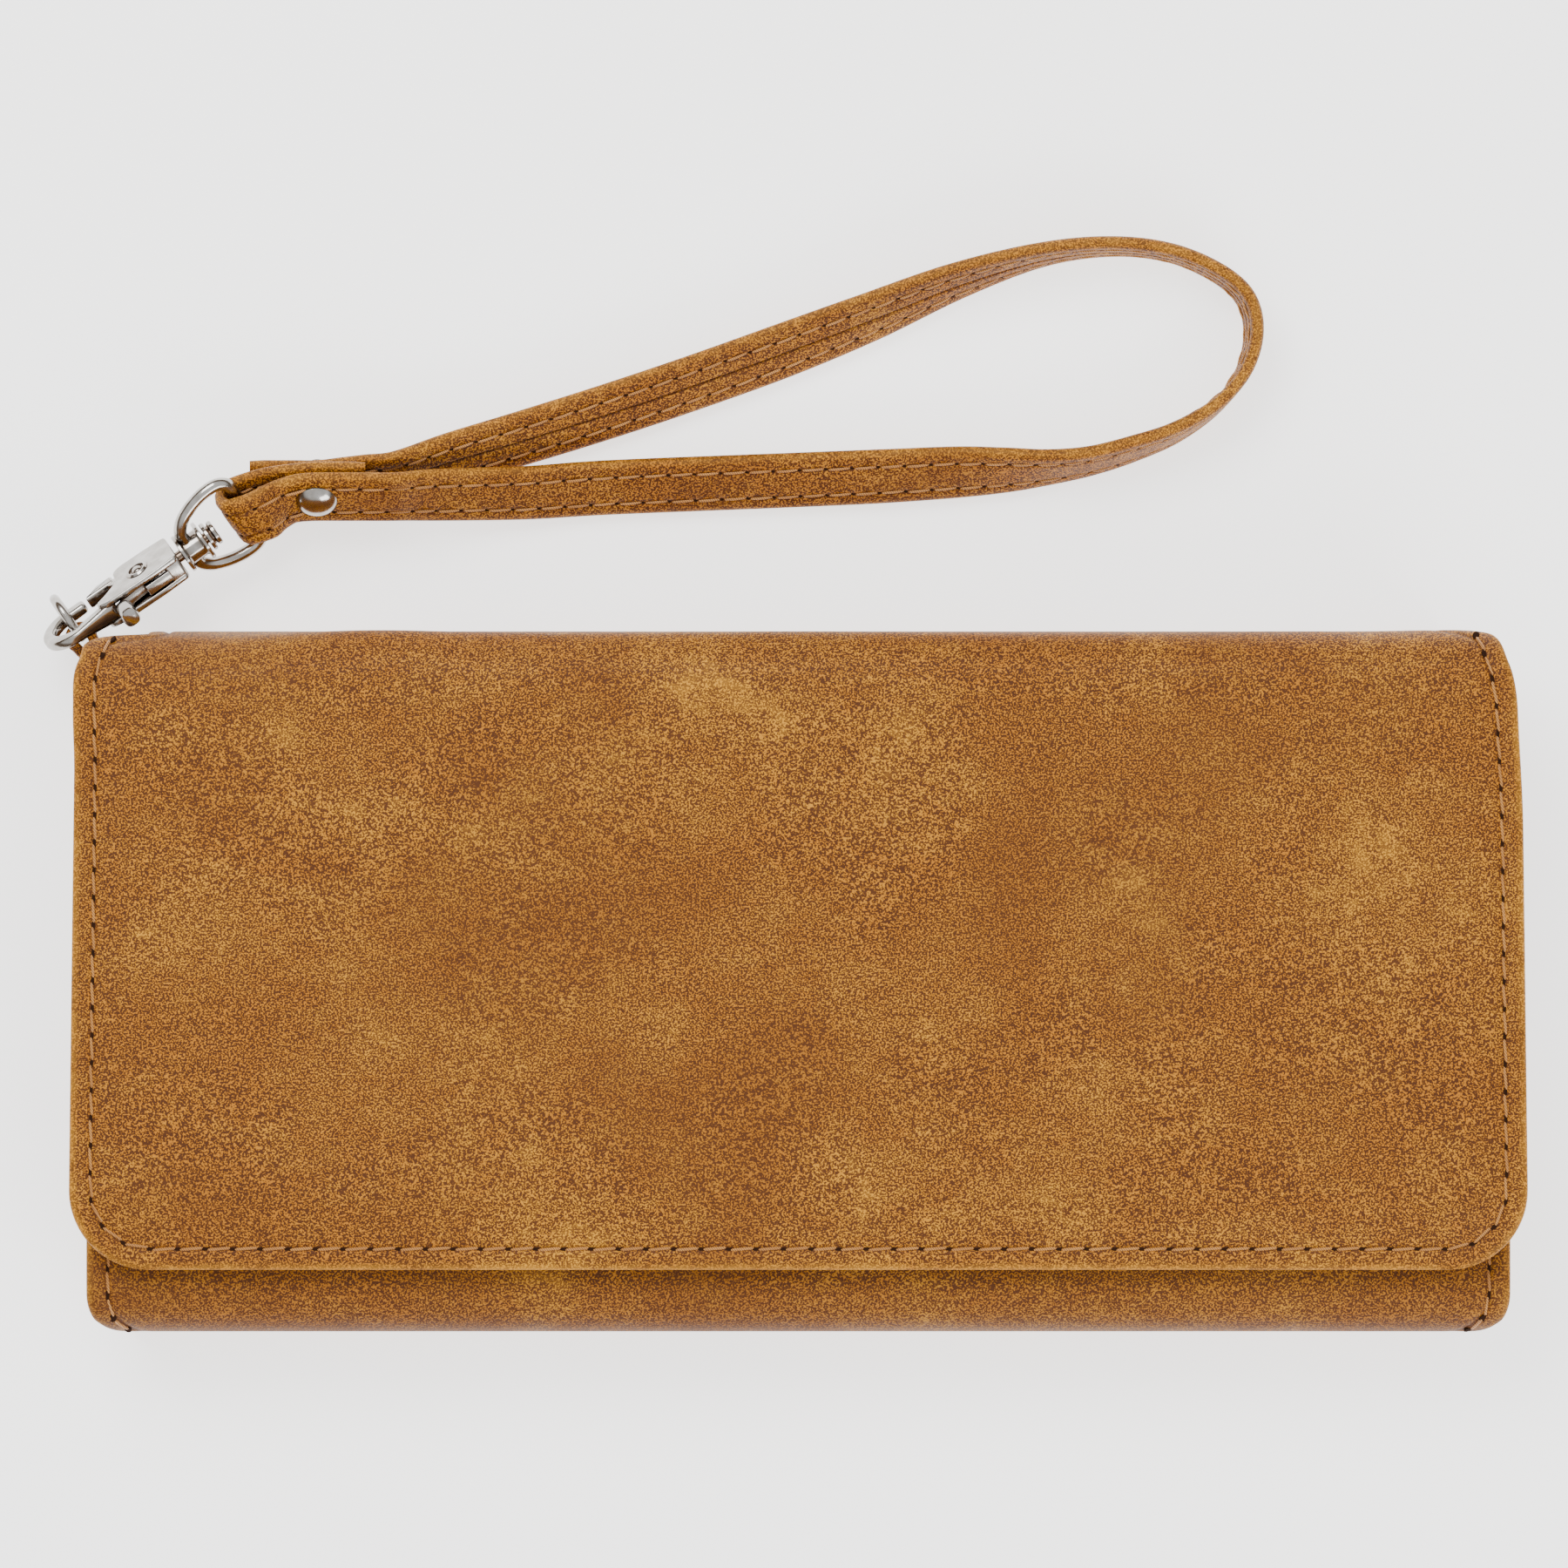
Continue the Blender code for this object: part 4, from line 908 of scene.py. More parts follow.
def build_gussets():
    """Side walls folded in twice, with rounded folds."""
    for name in ("gusset_left", "gusset_right"):
        low, high = box_mm(name)
        side = 1 if low.x > 0 else -1
        inner_x = min(abs(low.x), abs(high.x)) + 0.4
        outer_x = max(abs(low.x), abs(high.x)) - 0.4
        heights = np.linspace(low.z + 0.3, high.z - 0.3, 49)
        share = (heights - heights[0]) / (heights[-1] - heights[0])
        wave = 0.5 + 0.5 * np.cos(share * 4 * math.pi)
        x = inner_x + (outer_x - inner_x) * wave
        slope = np.gradient(x, heights)
        nx, nz = 1 / np.hypot(1, slope), -slope / np.hypot(1, slope)
        ys = np.linspace(low.y, high.y, 42)
        verts = []
        for face in (0.28, -0.28):
            for y in ys:
                soft = 0.25 * math.sin(y / 7.0)
                for k in range(len(x)):
                    out = x[k] + nx[k] * face - soft * (1 - wave[k])
                    verts.append((side * out, y, heights[k] + nz[k] * face))
        item = mesh_object(name + "_leather", verts, sheet_faces(len(ys), len(x)), POCKET)
        bridge(item, "leather", "front_panel", 0, (low.z, high.z), name)


# ---- coin pouch

def build_pouch():
    for name, facing in (("coin_pouch_back", -1), ("coin_pouch_front", 1)):
        low, high = box = box_mm(name)
        shift = turned_over(box) if facing < 0 else None
        panel, item, outer = sheet_panel(name + "_cloth", box, (5.0, 2.0), POUCH, shift=shift)
        seat(item, "body", "lining", name)
        work = Stitching()
        length = high.y - low.y
        row = [(x, length - 1.6) for x in np.arange(low.x + 3, high.x - 2.9, 1.0)]
        work.run(*surface_run(panel, row, outer, 3.0), radius=0.13, lean=0.05, hole=0.16)
        work.seat(name + "_stitch", "body", "lining")
    for name in ("zip_tape_back", "zip_tape_front"):
        item = sheet_panel(name + "_cloth", box_mm(name), (0.4, 0.4), TAPE)[1]
        seat(item, "body", "zip_tape", name)


def build_teeth():
    """Two rows of teeth that mesh along the zip's line."""
    low, high = box_mm("zip_chain")
    middle = (low.z + high.z) / 2
    half = [(0.42, -1.4), (0.42, -0.1), (0.30, 0.15), (0.46, 0.45), (0.30, 0.8)]
    outline = [(-0.42, -1.4)] + half + [(-a, b) for a, b in reversed(half[1:])]
    verts, faces = [], []
    count = int((high.x - low.x) / 0.8)
    for k in range(count):
        x = low.x + 0.5 + k * (high.x - low.x - 1.0) / (count - 1)
        side = 1 if k % 2 else -1
        faces += tube_faces(4, len(outline), base=len(verts))
        for y, scale in ((low.y, 0.86), (low.y + 0.25, 1.0), (high.y - 0.25, 1.0), (high.y, 0.86)):
            verts += [(x + a * scale, y, middle + side * b * scale) for a, b in outline]
    item = mesh_object("zip_teeth", verts, faces, ZIP_METAL, 40)
    seat(item, "body", "zip_metal", "zip_chain")


# ---- wrist strap

HEADING = math.radians(35.0)
SWIVEL_AXIS = Vector((math.cos(HEADING), math.sin(HEADING), 0))
LEFT = Vector((-math.sin(HEADING), math.cos(HEADING), 0))
UP = Vector((0, 0, 1))
TUNNEL = Vector((-103.295349, 49.3228, 5.0))
LOOP_BAR = (Matrix.Rotation(math.radians(42.0), 3, SWIVEL_AXIS) @ -LEFT).normalized()
BOSS = Vector((-87.06, 62.4, 10.0))
BAR_CENTRE = BOSS + 9.2 * SWIVEL_AXIS
STRAP_WIDTH = 9.6
STRAP_STITCH = 3.8
STITCH_ROW = 2.4
STRAP_EDGE = 3.9
STRAP_SHEET = 1.8
STRAP_PITCH = STRAP_SHEET + 0.3
WRAP_R = 0.85 + 0.4 + STRAP_SHEET / 2
TILT = math.radians(48.0)
STACK_UP = Vector((0, math.cos(TILT), math.sin(TILT)))
STACK_NORMAL = Vector((0, -STACK_UP.z, STACK_UP.y))
RIVET_CENTRE = Vector((-69.3, 70.4, 9.6))
TWIST_DELAY = 1.6
TAB_END_X = -62.3
STACK_FLAT_X = -72.6
COURSE = (
    (-52.0, 69.9, 43.0), (-39.5, 70.2, 41.0), (-27.0, 71.0, 39.0), (-2.0, 72.0, 39.0),
    (12.0, 72.6, 40.0), (23.0, 73.2, 44.0), (30.0, 73.5, 53.0), (36.0, 73.9, 64.0),
    (42.0, 74.8, 71.0), (48.0, 76.5, 75.0), (54.5, 79.0, 81.0), (60.5, 83.0, 88.0),
    (64.3, 88.0, 94.0), (65.6, 93.5, 98.0), (64.4, 98.3, 99.0), (60.4, 101.9, 98.0),
    (53.5, 104.8, 97.0), (45.0, 105.7, 98.0), (35.0, 104.5, 103.0), (23.0, 100.8, 117.0),
    (10.4, 95.6, 132.0), (-2.0, 90.8, 140.0), (-14.5, 86.3, 141.0), (-27.0, 82.1, 141.0),
    (-39.5, 78.2, 140.0), (-49.5, 75.3, 137.0),
)


def stack_row(x):
    """Middle, normal, width direction and share of the twist across the riveted stack at x."""
    run = STACK_FLAT_X - BAR_CENTRE.x
    share = min(max((x - BAR_CENTRE.x) / run, 0), 1)
    share = (share + share * share * (3 - 2 * share)) / 2
    turn = min(max((x - BAR_CENTRE.x - TWIST_DELAY) / (run - TWIST_DELAY), 0), 1)
    smooth = turn * turn * (3 - 2 * turn)
    middle = BAR_CENTRE.lerp(RIVET_CENTRE, share)
    middle.x = x
    middle = middle - STACK_UP * 0.5 * math.exp(-((x + 73.2) / 1.9) ** 2)
    width = (-LOOP_BAR).lerp(STACK_UP, smooth).normalized()
    normal = Vector((1, 0.15, 0.1)).cross(width).normalized()
    return middle, normal.lerp(STACK_NORMAL, smooth).normalized(), width, smooth


def layer(x, at_bar, at_rivet):
    """One strap layer's centre and width direction, that far from the stack's middle."""
    middle, normal, width, smooth = stack_row(x)
    return middle + normal * (at_bar + (at_rivet - at_bar) * smooth), width


def wrap_rows():
    """The turn of the strap round the loop's bar."""
    width = -LOOP_BAR
    normal = stack_row(BAR_CENTRE.x)[1]
    back = width.cross(normal)
    rows = []
    for step in range(1, 12):
        angle = math.pi * step / 12
        rows.append((BAR_CENTRE - normal * WRAP_R * math.cos(angle) - back * WRAP_R * math.sin(angle), width))
    return rows


def course_rows():
    """The free loop of the strap, resting on its lower edge."""
    rows = []
    for index, (x, y, roll) in enumerate(COURSE):
        before = COURSE[max(index - 1, 0)]
        after = COURSE[min(index + 1, len(COURSE) - 1)]
        heading = Vector((after[0] - before[0], after[1] - before[1], 0)).normalized()
        outside = Vector((heading.y, -heading.x, 0))
        angle = math.radians(roll)
        width = math.sin(angle) * UP - math.cos(angle) * outside
        rest = STRAP_WIDTH / 2 * math.sin(angle) + STRAP_SHEET / 2 * abs(math.cos(angle)) + 0.4
        rows.append((Vector((x, y, rest)), width))
    for index, lift in ((0, 3.0), (1, 0.8), (-1, 0.6)):
        rows[index] = (rows[index][0] + UP * lift, rows[index][1])
    return rows


def last_rows():
    """The strap's far end, back under the rivet."""
    rows = []
    for x in (-58.0, TAB_END_X, -66.0, -69.3, STACK_FLAT_X, -79.0):
        slip = 2.0 * min((-58.0 - x) / 11.3, 1)
        middle = RIVET_CENTRE - STACK_NORMAL * 1.5 * STRAP_PITCH - STACK_UP * slip
        rows.append((Vector((x, middle.y, middle.z)), STACK_UP))
    return rows


def catmull(points, steps):
    """A smooth path through points."""
    ends = [2 * points[0] - points[1]] + list(points) + [2 * points[-1] - points[-2]]
    path = []
    for before, start, end, after in zip(ends, ends[1:], ends[2:], ends[3:]):
        for step in range(steps):
            t = step / steps
            path.append(0.5 * (2 * start + (end - before) * t
                               + (2 * before - 5 * start + 4 * end - after) * t ** 2
                               + (3 * start - before - 3 * end + after) * t ** 3))
    path.append(points[-1].copy())
    return path


def strap_line(spacing):
    """Centre, width direction and outward normal along the strap, evenly spaced."""
    leg = STRAP_PITCH / 2
    tab = [layer(x, -WRAP_R, -leg) for x in (TAB_END_X, -66.0, -69.3, -71.0, STACK_FLAT_X, -75.0, -77.4)]
    legs = [layer(x, WRAP_R, leg)
            for x in (-77.3, -75.0, STACK_FLAT_X, -71.0, -69.3, -66.0, TAB_END_X, -58.0)]
    rows = tab + wrap_rows() + legs + course_rows() + last_rows()
    centres = catmull([row[0] for row in rows], 10)
    widths = catmull([row[1] for row in rows], 10)
    joined = resampled([(*c, *w) for c, w in zip(centres, widths)], spacing)
    centres = [Vector(row[:3]) for row in joined]
    widths = [Vector(row[3:]).normalized() for row in joined]
    return [(centre, width, ahead_at(centres, k).cross(width).normalized())
            for k, (centre, width) in enumerate(zip(centres, widths))]


def strap_section():
    """(across, height) round the strap: rolled edges, sewn grooves, a seam on the inner face."""
    half, thick = STRAP_WIDTH / 2, STRAP_SHEET / 2
    left = spaced((-STRAP_EDGE, -2.8, 4), (-2.6, -2.2, 4), (-2.0, -0.6, 4)) + [-0.3, -0.12]
    across = np.array(left + [0.0] + [-value for value in reversed(left)])
    fullness = thick * (1.0 + 0.10 * np.cos(across / half * math.pi * 0.5))
    groove = 0.22 * (np.exp(-((np.abs(across) - STITCH_ROW) / 0.32) ** 2))
    upper = fullness - groove
    lower = -(fullness - groove - 0.45 * np.exp(-(across / 0.20) ** 2))
    section = list(zip(across, upper))
    edge = [(STRAP_EDGE + 0.92 * math.sin(a), thick * 0.97 * math.cos(a))
            for a in (math.pi * k / 10 for k in range(1, 10))]
    section += edge + list(zip(across[::-1], lower[::-1])) + [(-x, y) for x, y in reversed(edge)]
    return section


def sweep(name, line, section, material):
    """A closed strip of one section along a line, with rounded ends."""
    verts = []
    for k, (centre, width, normal) in enumerate(line):
        inset = {0: 0.80, 1: 0.97, len(line) - 1: 0.80, len(line) - 2: 0.97}.get(k, 1.0)
        for across, height in section:
            verts.append(centre + width * across * (1 if inset == 1 else 0.985) + normal * height * inset)
    return mesh_object(name, verts, tube_faces(len(line), len(section)), material)


def build_strap():
    line = strap_line(0.9)
    section = strap_section()
    item = sweep("strap_leather_strip", line, section, STRAP_LEATHER)
    total = len(line)
    # Rim attribute: painted highlight with rubbed wear on the rolled edges; groove attribute: darker along
    # the sewn grooves and the inner seam.
    rim_wear_and_highlight = [0.35 * max(0.0, (abs(a) - STRAP_EDGE) / 0.9) for a, _ in section] * total
    groove = [0.6 * math.exp(-((abs(a) - STITCH_ROW) / 0.28) ** 2)
              + (0.7 * math.exp(-(a / 0.22) ** 2) if h < 0 else 0) for a, h in section] * total
    float_attribute(item, "rim_wear_and_highlight", rim_wear_and_highlight)
    float_attribute(item, "groove", groove)
    seat(item, "strap", "leather", "wrist_strap")
    work = Stitching()
    steps = strap_line(STRAP_STITCH)[1:-1]
    thick = STRAP_SHEET / 2 * 1.02 - 0.14
    for face in (1, -1):
        for row in (-STITCH_ROW, STITCH_ROW):
            holes = [c + w * row + n * face * thick for c, w, n in steps]
            work.run(holes, [n * face for _, _, n in steps], radius=0.20, lean=0.12, hole=0.26)
    work.seat("strap_stitch", "strap", "leather")


def build_ring_tab():
    """The folded leather tab that holds the ring."""
    sheet, height = 1.5, 3.6
    radius = 0.55 + 0.3 + sheet / 2
    pinch = (sheet + 0.3) / 2
    legs = [(7.5, pinch), (5.5, pinch), (3.2, pinch), (2.0, pinch + 0.3)]
    turn = arc((0, 0), (radius, radius), 60, 24, 11)
    route = legs + turn + [(x, -y) for x, y in reversed(legs)]
    centres = catmull([TUNNEL - LEFT * x + SWIVEL_AXIS * y for x, y in route], 4)
    line = []
    for k, centre in enumerate(centres):
        line.append((centre, UP, ahead_at(centres, k).cross(UP).normalized()))
    half, thick = height / 2, sheet / 2
    section = superellipse(half, thick, 0.45, 28)
    item = sweep("ring_tab_leather", line, section, STRAP_LEATHER)
    seat(item, "body", "leather", "ring_tab")
    work = Stitching()
    for face in (1, -1):
        row = TUNNEL - LEFT * 3.6 + SWIVEL_AXIS * face * (pinch + thick - 0.05)
        holes = [row + UP * z for z in (-1.3, 0.0, 1.3)]
        work.run(holes, [SWIVEL_AXIS * face] * 3, radius=0.16, lean=0.03, hole=0.2)
    work.seat("ring_tab_stitch", "body", "leather")


# ---- metal

ROLL = math.radians(65.0)
PLATE_NORMAL = math.cos(ROLL) * UP + math.sin(ROLL) * LEFT
PLATE_WIDTH = math.sin(ROLL) * UP - math.cos(ROLL) * LEFT
CLIP_AXES = (-SWIVEL_AXIS, PLATE_WIDTH, PLATE_NORMAL)
HUB = (8.6, 0.0)
HOOK_AT = (20.8, -1.35)
HOOK_SIZE = (3.75, 3.55)
CHEEK = ((2.75, -4.3), (6.4, -4.7), (10.6, -4.9), (11.9, -4.2), (12.0, -2.6), (12.2, -1.0), (14.4, 0.6),
         (16.2, 1.5), (16.2, 2.6), (14.6, 3.4), (7.0, 3.75), (2.75, 3.5))


def superellipse(a, b, power, sides):
    points = []
    for k in range(sides):
        x, y = math.cos(2 * math.pi * k / sides), math.sin(2 * math.pi * k / sides)
        points.append((a * math.copysign(abs(x) ** power, x), b * math.copysign(abs(y) ** power, y)))
    return points


def rounded(outline, radius, steps=4):
    """A polygon with its corners rounded."""
    points = []
    corners = [Vector(p) for p in outline]
    for k, here in enumerate(corners):
        back, on = corners[k - 1] - here, corners[(k + 1) % len(corners)] - here
        reach = min(radius, back.length * 0.45, on.length * 0.45)
        a, b = here + back.normalized() * reach, here + on.normalized() * reach
        for step in range(steps + 1):
            t = step / steps
            points.append(a * (1 - t) ** 2 + here * 2 * t * (1 - t) + b * t ** 2)
    return points


def shrunk(points, amount):
    """A polygon drawn in by amount all round."""
    area = sum(a.x * b.y - b.x * a.y for a, b in zip(points, points[1:] + points[:1]))
    turn = 1 if area > 0 else -1
    out = []
    for k, here in enumerate(points):
        back = (here - points[k - 1]).normalized()
        on = (points[(k + 1) % len(points)] - here).normalized()
        first, second = Vector((-back.y, back.x)) * turn, Vector((-on.y, on.x)) * turn
        out.append(here + (first + second) / max(1 + first.dot(second), 0.4) * amount)
    return out


class Cast:
    """Closed metal shapes gathered into one mesh, drawn in their own axes."""

    def __init__(self, origin, axes):
        self.origin, self.axes = origin, axes
        self.verts, self.faces = [], []

    def skin(self, rings, closed=False):
        """A skin over rings of (x, y, z) points."""
        self.faces += tube_faces(len(rings), len(rings[0]), closed, len(self.verts))
        for ring in rings:
            self.verts += [self.origin + self.axes[0] * x + self.axes[1] * y + self.axes[2] * z
                           for x, y, z in ring]

    def plate(self, outline, low, high, bevel=0.25, corner=0.5):
        """A flat casting with rounded edges."""
        points = rounded(outline, corner)
        rings = []
        for z, way in ((low, 1), (high, -1)):
            level = [(bevel * (1 - math.sin(t)), z + way * bevel * (1 - math.cos(t)))
                     for t in (math.radians(a) for a in (0, 30, 60, 90))]
            rings += level if way == 1 else level[::-1]
        self.skin([[(p.x, p.y, z) for p in shrunk(points, inset)] for inset, z in rings])

    def turned(self, profile, closed=False, sides=40, along=0, centre=(0.0, 0.0)):
        """A shape turned about the first axis, or about the third through centre."""
        angles = [2 * math.pi * k / sides for k in range(sides)]
        if along == 0:
            rings = [[(x, r * math.cos(a), r * math.sin(a)) for a in angles] for x, r in profile]
        else:
            rings = [[(centre[0] + r * math.cos(a), centre[1] + r * math.sin(a), x) for a in angles]
                     for x, r in profile]
        self.skin(rings, closed)

    def bar(self, path, halves, power=1.0, closed=False, sides=20):
        """A bar along a path in the first two axes; halves gives its half sizes at each point."""
        rings = []
        count = len(path)
        for k, here in enumerate(path):
            before = path[k - 1] if closed or k else here
            after = path[(k + 1) % count] if closed or k < count - 1 else here
            ahead = (after - before).normalized()
            across = Vector((-ahead.y, ahead.x))
            a, b = halves[k]
            rings.append([(here.x + across.x * u, here.y + across.y * u, v)
                          for u, v in superellipse(a, b, power, sides)])
        self.skin(rings, closed)

    def build(self, node, body):
        item = mesh_object(node + "_cast", self.verts, self.faces, NICKEL, smooth_angle=35.0)
        seat(item, body, "nickel", node)


def soft_ends(path, halves, reach=0.5):
    """The same bar with a rounded tip at each end."""
    first, last = (path[0] - path[1]).normalized(), (path[-1] - path[-2]).normalized()
    tips = ((1.0, 0.55), (0.8, 0.8), (0.4, 0.95))
    start = [path[0] + first * reach * out for out, _ in tips]
    end = [path[-1] + last * reach * out for out, _ in reversed(tips)]
    small = [(halves[0][0] * size, halves[0][1] * size) for _, size in tips]
    large = [(halves[-1][0] * size, halves[-1][1] * size) for _, size in reversed(tips)]
    return start + path + end, small + halves + large


def build_frame():
    frame = Cast(BOSS, CLIP_AXES)
    for low, high in ((1.15, 2.1), (-2.1, -1.15)):
        frame.plate(CHEEK, low, high, 0.24, 0.7)
    frame.plate(((2.75, -4.2), (5.3, -4.4), (5.3, 3.55), (2.75, 3.4)), -2.05, 2.05, 0.3)
    frame.plate(((4.9, 2.95), (9.0, 2.95), (9.0, 3.8), (4.9, 3.8)), -0.8, 0.8, 0.16, 0.15)
    frame.plate(((13.9, 0.6), (15.8, 1.3), (15.8, 2.6), (13.9, 3.2)), -1.8, 1.8, 0.25)
    path = [(x, 2.2) for x in (14.6, 15.6, 16.6, 17.6, 18.6, 19.7)] + arc(HOOK_AT, HOOK_SIZE, 90, -10, 19)
    path = [Vector(p) for p in path + [(x, -4.9) for x in (19.9, 19.0, 18.2)]]
    thick = [1.7 - 0.8 * min(k / 6, 1) for k in range(len(path))]
    frame.bar(*soft_ends(path, [(1.05, value) for value in thick], 0.6), power=0.7, sides=28)
    frame.build("clasp_frame", "clasp")


def build_gate():
    gate = Cast(BOSS, CLIP_AXES)
    x = HUB[0]
    hub = arc(HUB, (2.3, 2.3), 100, 20, 6)
    outline = hub + [(x, -3.9), (x + 1.6, -4.9), (13.7, -5.7), (13.7, -4.8), (12.1, -3.0), (x + 2.6, -0.8),
                     (x + 2.4, 0.6), (13.1, 2.7), (13.1, 4.9), (14.2, 4.9), (13.7, 3.0), (x + 1.4, 2.4)]
    gate.plate(outline, -0.8, 0.8, 0.18, 0.3)
    gate.plate(((12.3, -6.5), (14.9, -6.5), (17.1, -5.0), (17.1, -4.6), (12.3, -4.6)), -0.95, 0.95, 0.4, 0.4)
    rings = []
    for w, size in ((4.2, 0.72), (4.5, 0.9), (5.2, 0.98), (6.8, 1.0), (7.4, 0.96), (7.75, 0.84), (7.9, 0.6)):
        rings.append([(13.1 + u * size, w, v * size) for u, v in superellipse(1.3, 1.6, 0.7, 32)])
    gate.skin(rings)
    gate.build("clasp_gate", "gate")


def build_pins():
    pivot = Cast(BOSS, CLIP_AXES)
    head = [(2.62, 0.02), (2.55, 0.5), (2.32, 0.8), (2.13, 0.86), (2.13, 1.16), (2.42, 1.26), (2.46, 1.52),
            (2.2, 1.74), (2.02, 1.74), (2.02, 0.65)]
    pivot.turned(head + [(-h, r) for h, r in reversed(head)], along=2, centre=HUB)
    pivot.build("gate_pivot_pin", "clasp")
    pin = Cast(BOSS, CLIP_AXES)
    pin.turned([(3.8, 0.02), (3.8, 0.85), (-2.3, 0.85), (-2.3, 2.05), (-2.42, 2.2), (-2.8, 2.2),
                (-2.95, 2.05), (-3.0, 1.5), (-3.2, 1.45), (-3.3, 1.75), (-3.45, 1.88), (-3.85, 1.88),
                (-4.0, 1.75), (-4.05, 0.9), (-3.9, 0.7), (-3.9, 0.02)])
    pin.build("swivel_pin", "clasp")


def build_loop():
    loop = Cast(BOSS, (SWIVEL_AXIS, LOOP_BAR, SWIVEL_AXIS.cross(LOOP_BAR)))
    half = [(-2.0, 1.2), (-2.0, 2.85), (-1.88, 3.0), (-1.52, 3.0), (-1.4, 2.85), (-1.34, 2.25), (-1.15, 2.1)]
    loop.turned(half + [(-x, r) for x, r in reversed(half)], closed=True)
    side = ((-0.5, 1.6), (-0.4, 3.4), (1.2, 5.2), (4.2, 6.5), (7.0, 6.8), (8.6, 6.2), (9.2, 5.0))
    low = [Vector((x, y * 0.97, 0)) for x, y in side]
    high = [Vector((x, -y * 1.08, 0)) for x, y in reversed(side)]
    path = [p.to_2d() for p in catmull(low + [Vector((9.2, 2.5, 0)), Vector((9.2, -2.5, 0))] + high, 5)]
    loop.bar(path, [(0.95, 0.95)] * len(path))
    loop.build("swivel_loop", "loop")


def build_ring():
    ring = Cast(TUNNEL, (LEFT, UP, LEFT.cross(UP)))
    reach = 3.35
    path = [Vector((reach + 0.1 + reach * math.sin(a), reach * math.cos(a))) for a in
            (math.radians(13 * k) for k in range(1, 14))]
    path += [Vector((1.1, -3.25)), Vector((0.3, -2.6)), Vector((0, -1.9)), Vector((0, 0)), Vector((0, 1.9)),
             Vector((0.3, 2.6)), Vector((1.1, 3.25))]
    ring.bar(path, [(0.58 + 0.14 * min(p.x / 2, 1),) * 2 for p in path], closed=True)
    ring.build("tab_ring", "ring")


def build_rivet():
    across = Vector((1, 0, 0))
    axes = (STACK_NORMAL, across, STACK_NORMAL.cross(across))
    top = STRAP_PITCH / 2 + STRAP_SHEET / 2 + 0.2
    foot = -4.45
    cap = Cast(RIVET_CENTRE, axes)
    dome = [(1.2, 0.02), (1.17, 0.6), (1.07, 1.2), (0.9, 1.75), (0.65, 2.25), (0.38, 2.62), (0.15, 2.84),
            (0.0, 2.95), (-0.1, 2.9)]
    cap.turned([(top + h, r) for h, r in dome] + [(top - 0.1, 0.95), (foot, 0.95), (foot, 0.02)], sides=56)
    cap.build("strap_rivet_cap", "strap")
    back = Cast(RIVET_CENTRE, axes)
    back.turned([(foot - 0.3, 0.02), (foot - 0.3, 1.4), (foot - 0.42, 1.5), (foot - 0.55, 1.42),
                 (foot - 0.68, 1.1), (foot - 0.7, 0.02)])
    back.build("strap_rivet_back", "strap")


SNAP_AT = (0, -30)


def build_snap():
    """The press stud on the flap and its socket on the front, turned about one upright line."""
    socket = ((20.5, 2.6), (20.5, 6.4), (20.9, 6.5), (21.35, 6.1), (21.7, 5.3), (21.88, 4.7), (21.9, 4.2),
              (21.82, 3.2), (21.7, 2.8), (21.5, 2.6))
    stud = ((22.8, 0.02), (22.8, 6.4), (22.65, 6.5), (22.35, 6.5), (22.12, 6.25), (22.02, 5.9),
            (22.02, 2.7), (21.9, 2.3), (21.4, 2.2), (21.1, 2.1), (20.95, 1.85), (20.9, 1.4), (20.9, 0.02))
    for node, body, profile, hollow in (("snap_socket", "front_panel", socket, True),
                                        ("snap_stud", "flap", stud, False)):
        cast = Cast(Vector((0, 0, 0)), (Vector((1, 0, 0)), Vector((0, 1, 0)), UP))
        cast.turned(profile, closed=hollow, along=2, centre=SNAP_AT, sides=64)
        cast.build(node, body)


def finish_metal():
    for name in ("zip_stop_left", "zip_stop_right", "zip_slider", "zip_pull"):
        NODES[name].data.materials[0] = ZIP_METAL
    NODES["gate_spring"].data.materials[0] = STEEL


# ---- stage

def area_light(name, place, target, size, power):
    data = bpy.data.lights.new(name, "AREA")
    data.shape = "RECTANGLE"
    data.size, data.size_y = size
    data.energy = power
    item = bpy.data.objects.new(name, data)
    item.location = place
    item.rotation_euler = (Vector(target) - Vector(place)).to_track_quat("-Z", "Y").to_euler()
    bpy.context.scene.collection.objects.link(item)


FLOOR_Z = -0.35
FLOOR_REACH = 9000
FLOOR_GLOW = 1.8
ROOM_LIGHT = 1.15


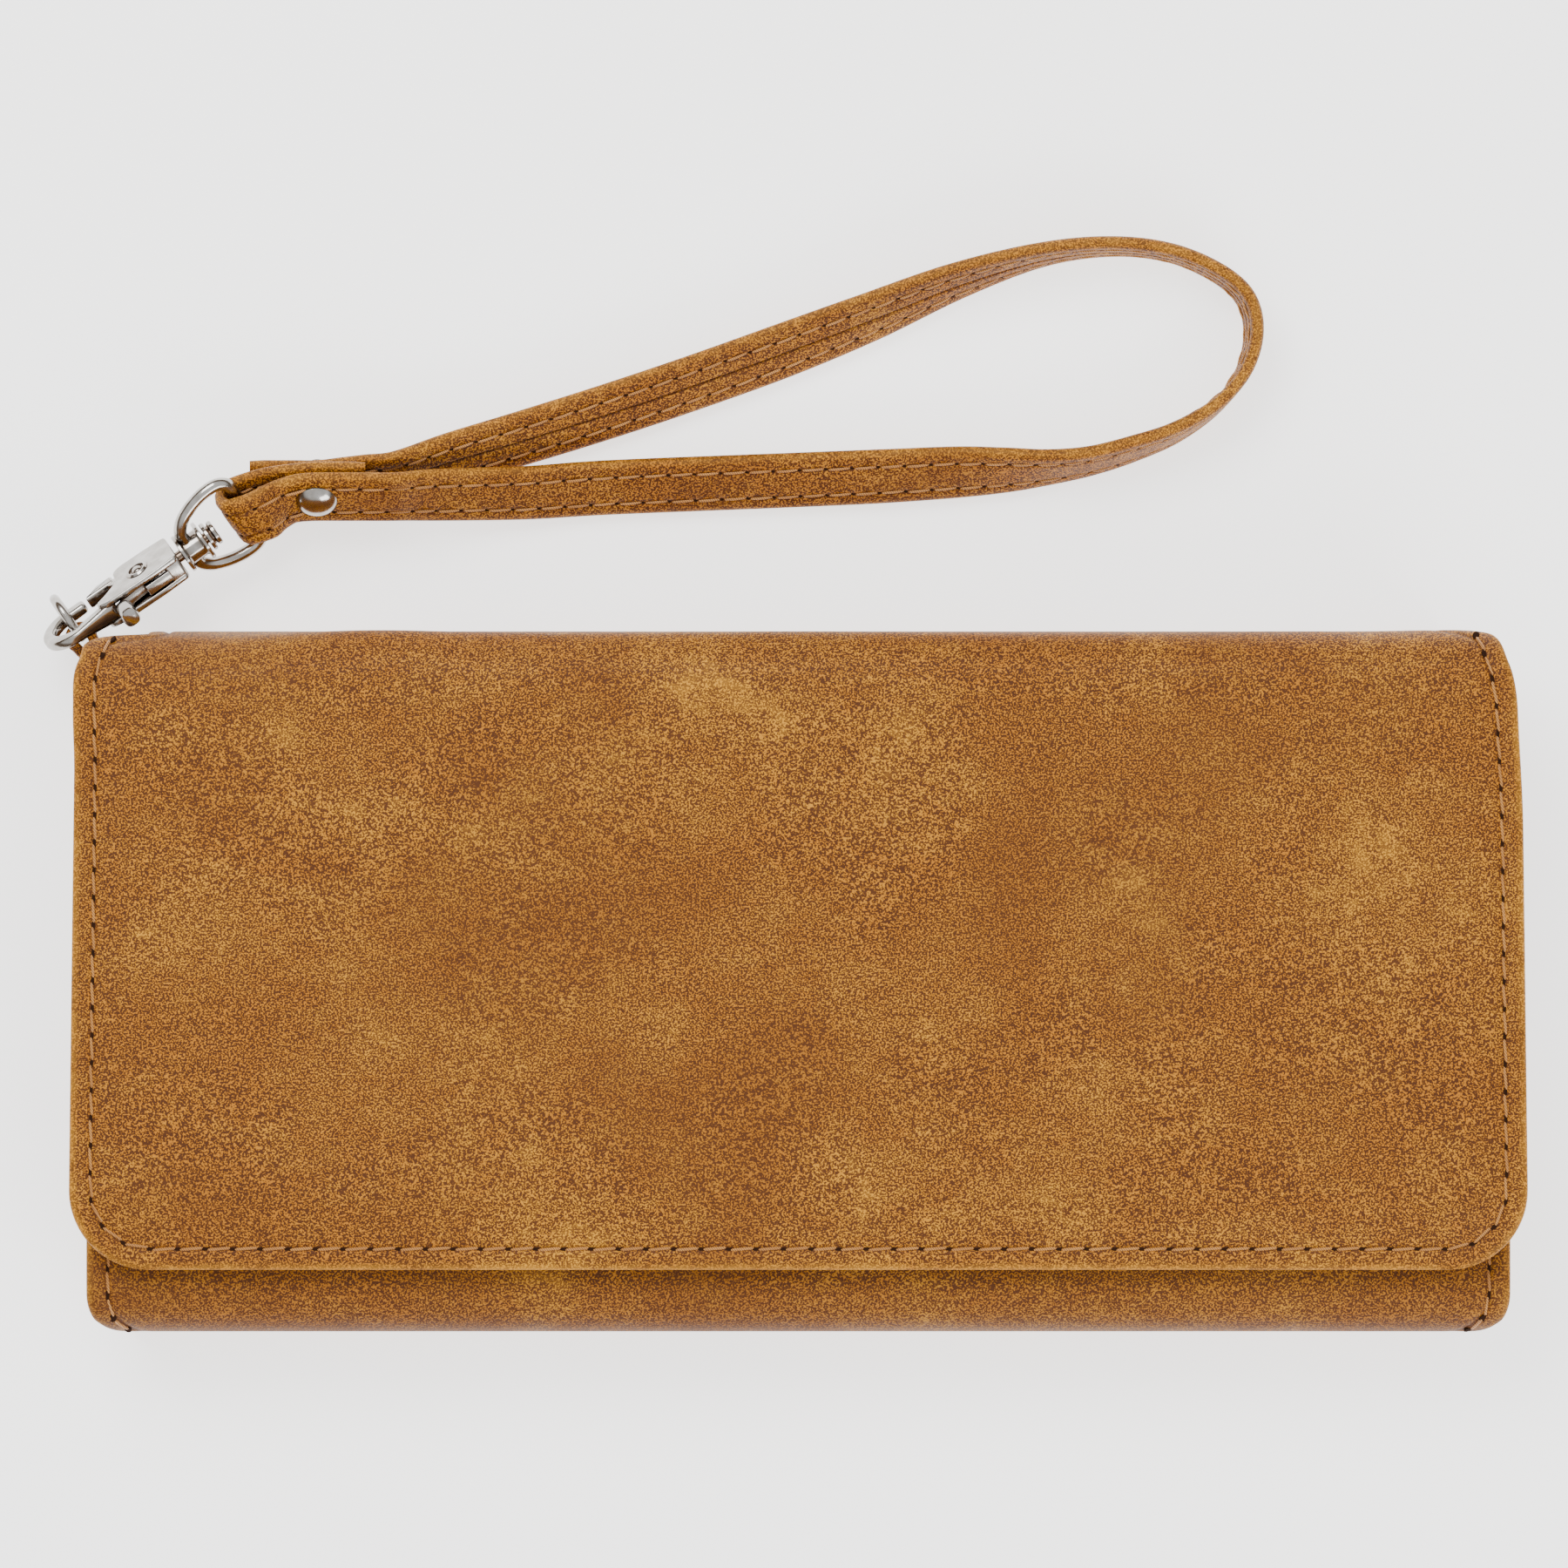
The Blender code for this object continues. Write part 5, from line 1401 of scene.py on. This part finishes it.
def build_stage():
    """A pale floor, a room that is dusky near the horizon, and two soft lights."""
    corners = [(FLOOR_REACH * x, FLOOR_REACH * y, FLOOR_Z) for x, y in ((-1, -1), (1, -1), (1, 1), (-1, 1))]
    floor = mesh_object("floor", corners, [(0, 1, 2, 3)], None)
    paper = Shade("floor_paper", roughness=0.85, Specular_IOR_Level=0.15)
    cloud = paper.noise(paper.coords(), 60.0)
    tone = paper.mix(cloud, linear(247, 247, 246), linear(250, 250, 250))
    paper.colour(tone)
    paper.link(tone, paper.shader.inputs["Emission Color"])
    paper.set("Emission Strength", FLOOR_GLOW)
    floor.data.materials.clear()
    floor.data.materials.append(paper.material)
    world = bpy.data.worlds.new("studio")
    bpy.context.scene.world = world
    world.use_nodes = True
    nodes, links = world.node_tree.nodes, world.node_tree.links
    back = nodes["Background"]
    split = nodes.new("ShaderNodeSeparateXYZ")
    links.new(nodes.new("ShaderNodeTexCoord").outputs["Generated"], split.inputs[0])
    ramp = nodes.new("ShaderNodeValToRGB")
    links.new(split.outputs["Z"], ramp.inputs["Fac"])
    links.new(ramp.outputs["Color"], back.inputs["Color"])
    ramp.color_ramp.elements[0].color = (0.30, 0.23, 0.17, 1)
    ramp.color_ramp.elements[1].position = 0.62
    ramp.color_ramp.elements[1].color = (1.0, 1.0, 1.0, 1)
    dusk = ramp.color_ramp.elements.new(0.34)
    dusk.color = (0.16, 0.11, 0.07, 1)
    back.inputs["Strength"].default_value = ROOM_LIGHT
    area_light("key", (-0.45, 0.75, 1.15), (0, 0.02, 0), (0.7, 0.7), 14.0)
    area_light("fill", (0.55, -0.85, 0.75), (0, 0, 0), (0.8, 0.5), 8.0)


VIEW_CENTRE = Vector((-2.06, 28.25, 26.0)) * MM
VIEW_WIDTH = 0.225
LENS = 800
SENSOR = 36


def build_camera():
    """A long lens straight above, which sees VIEW_WIDTH metres."""
    data = bpy.data.cameras.new("camera")
    data.lens = LENS
    data.sensor_width = SENSOR
    data.clip_start, data.clip_end = 0.01, 50
    camera = bpy.data.objects.new("camera", data)
    camera.location = VIEW_CENTRE + Vector((0, 0, VIEW_WIDTH * LENS / SENSOR))
    bpy.context.scene.collection.objects.link(camera)
    bpy.context.scene.camera = camera


build_stage()
build_camera()
build_cover_stitches(build_cover())
build_front()
build_linings()
build_boards()
build_pockets()
build_gussets()
build_pouch()
build_teeth()
build_strap()
build_ring_tab()
build_frame()
build_gate()
build_pins()
build_loop()
build_ring()
build_rivet()
build_snap()
finish_metal()
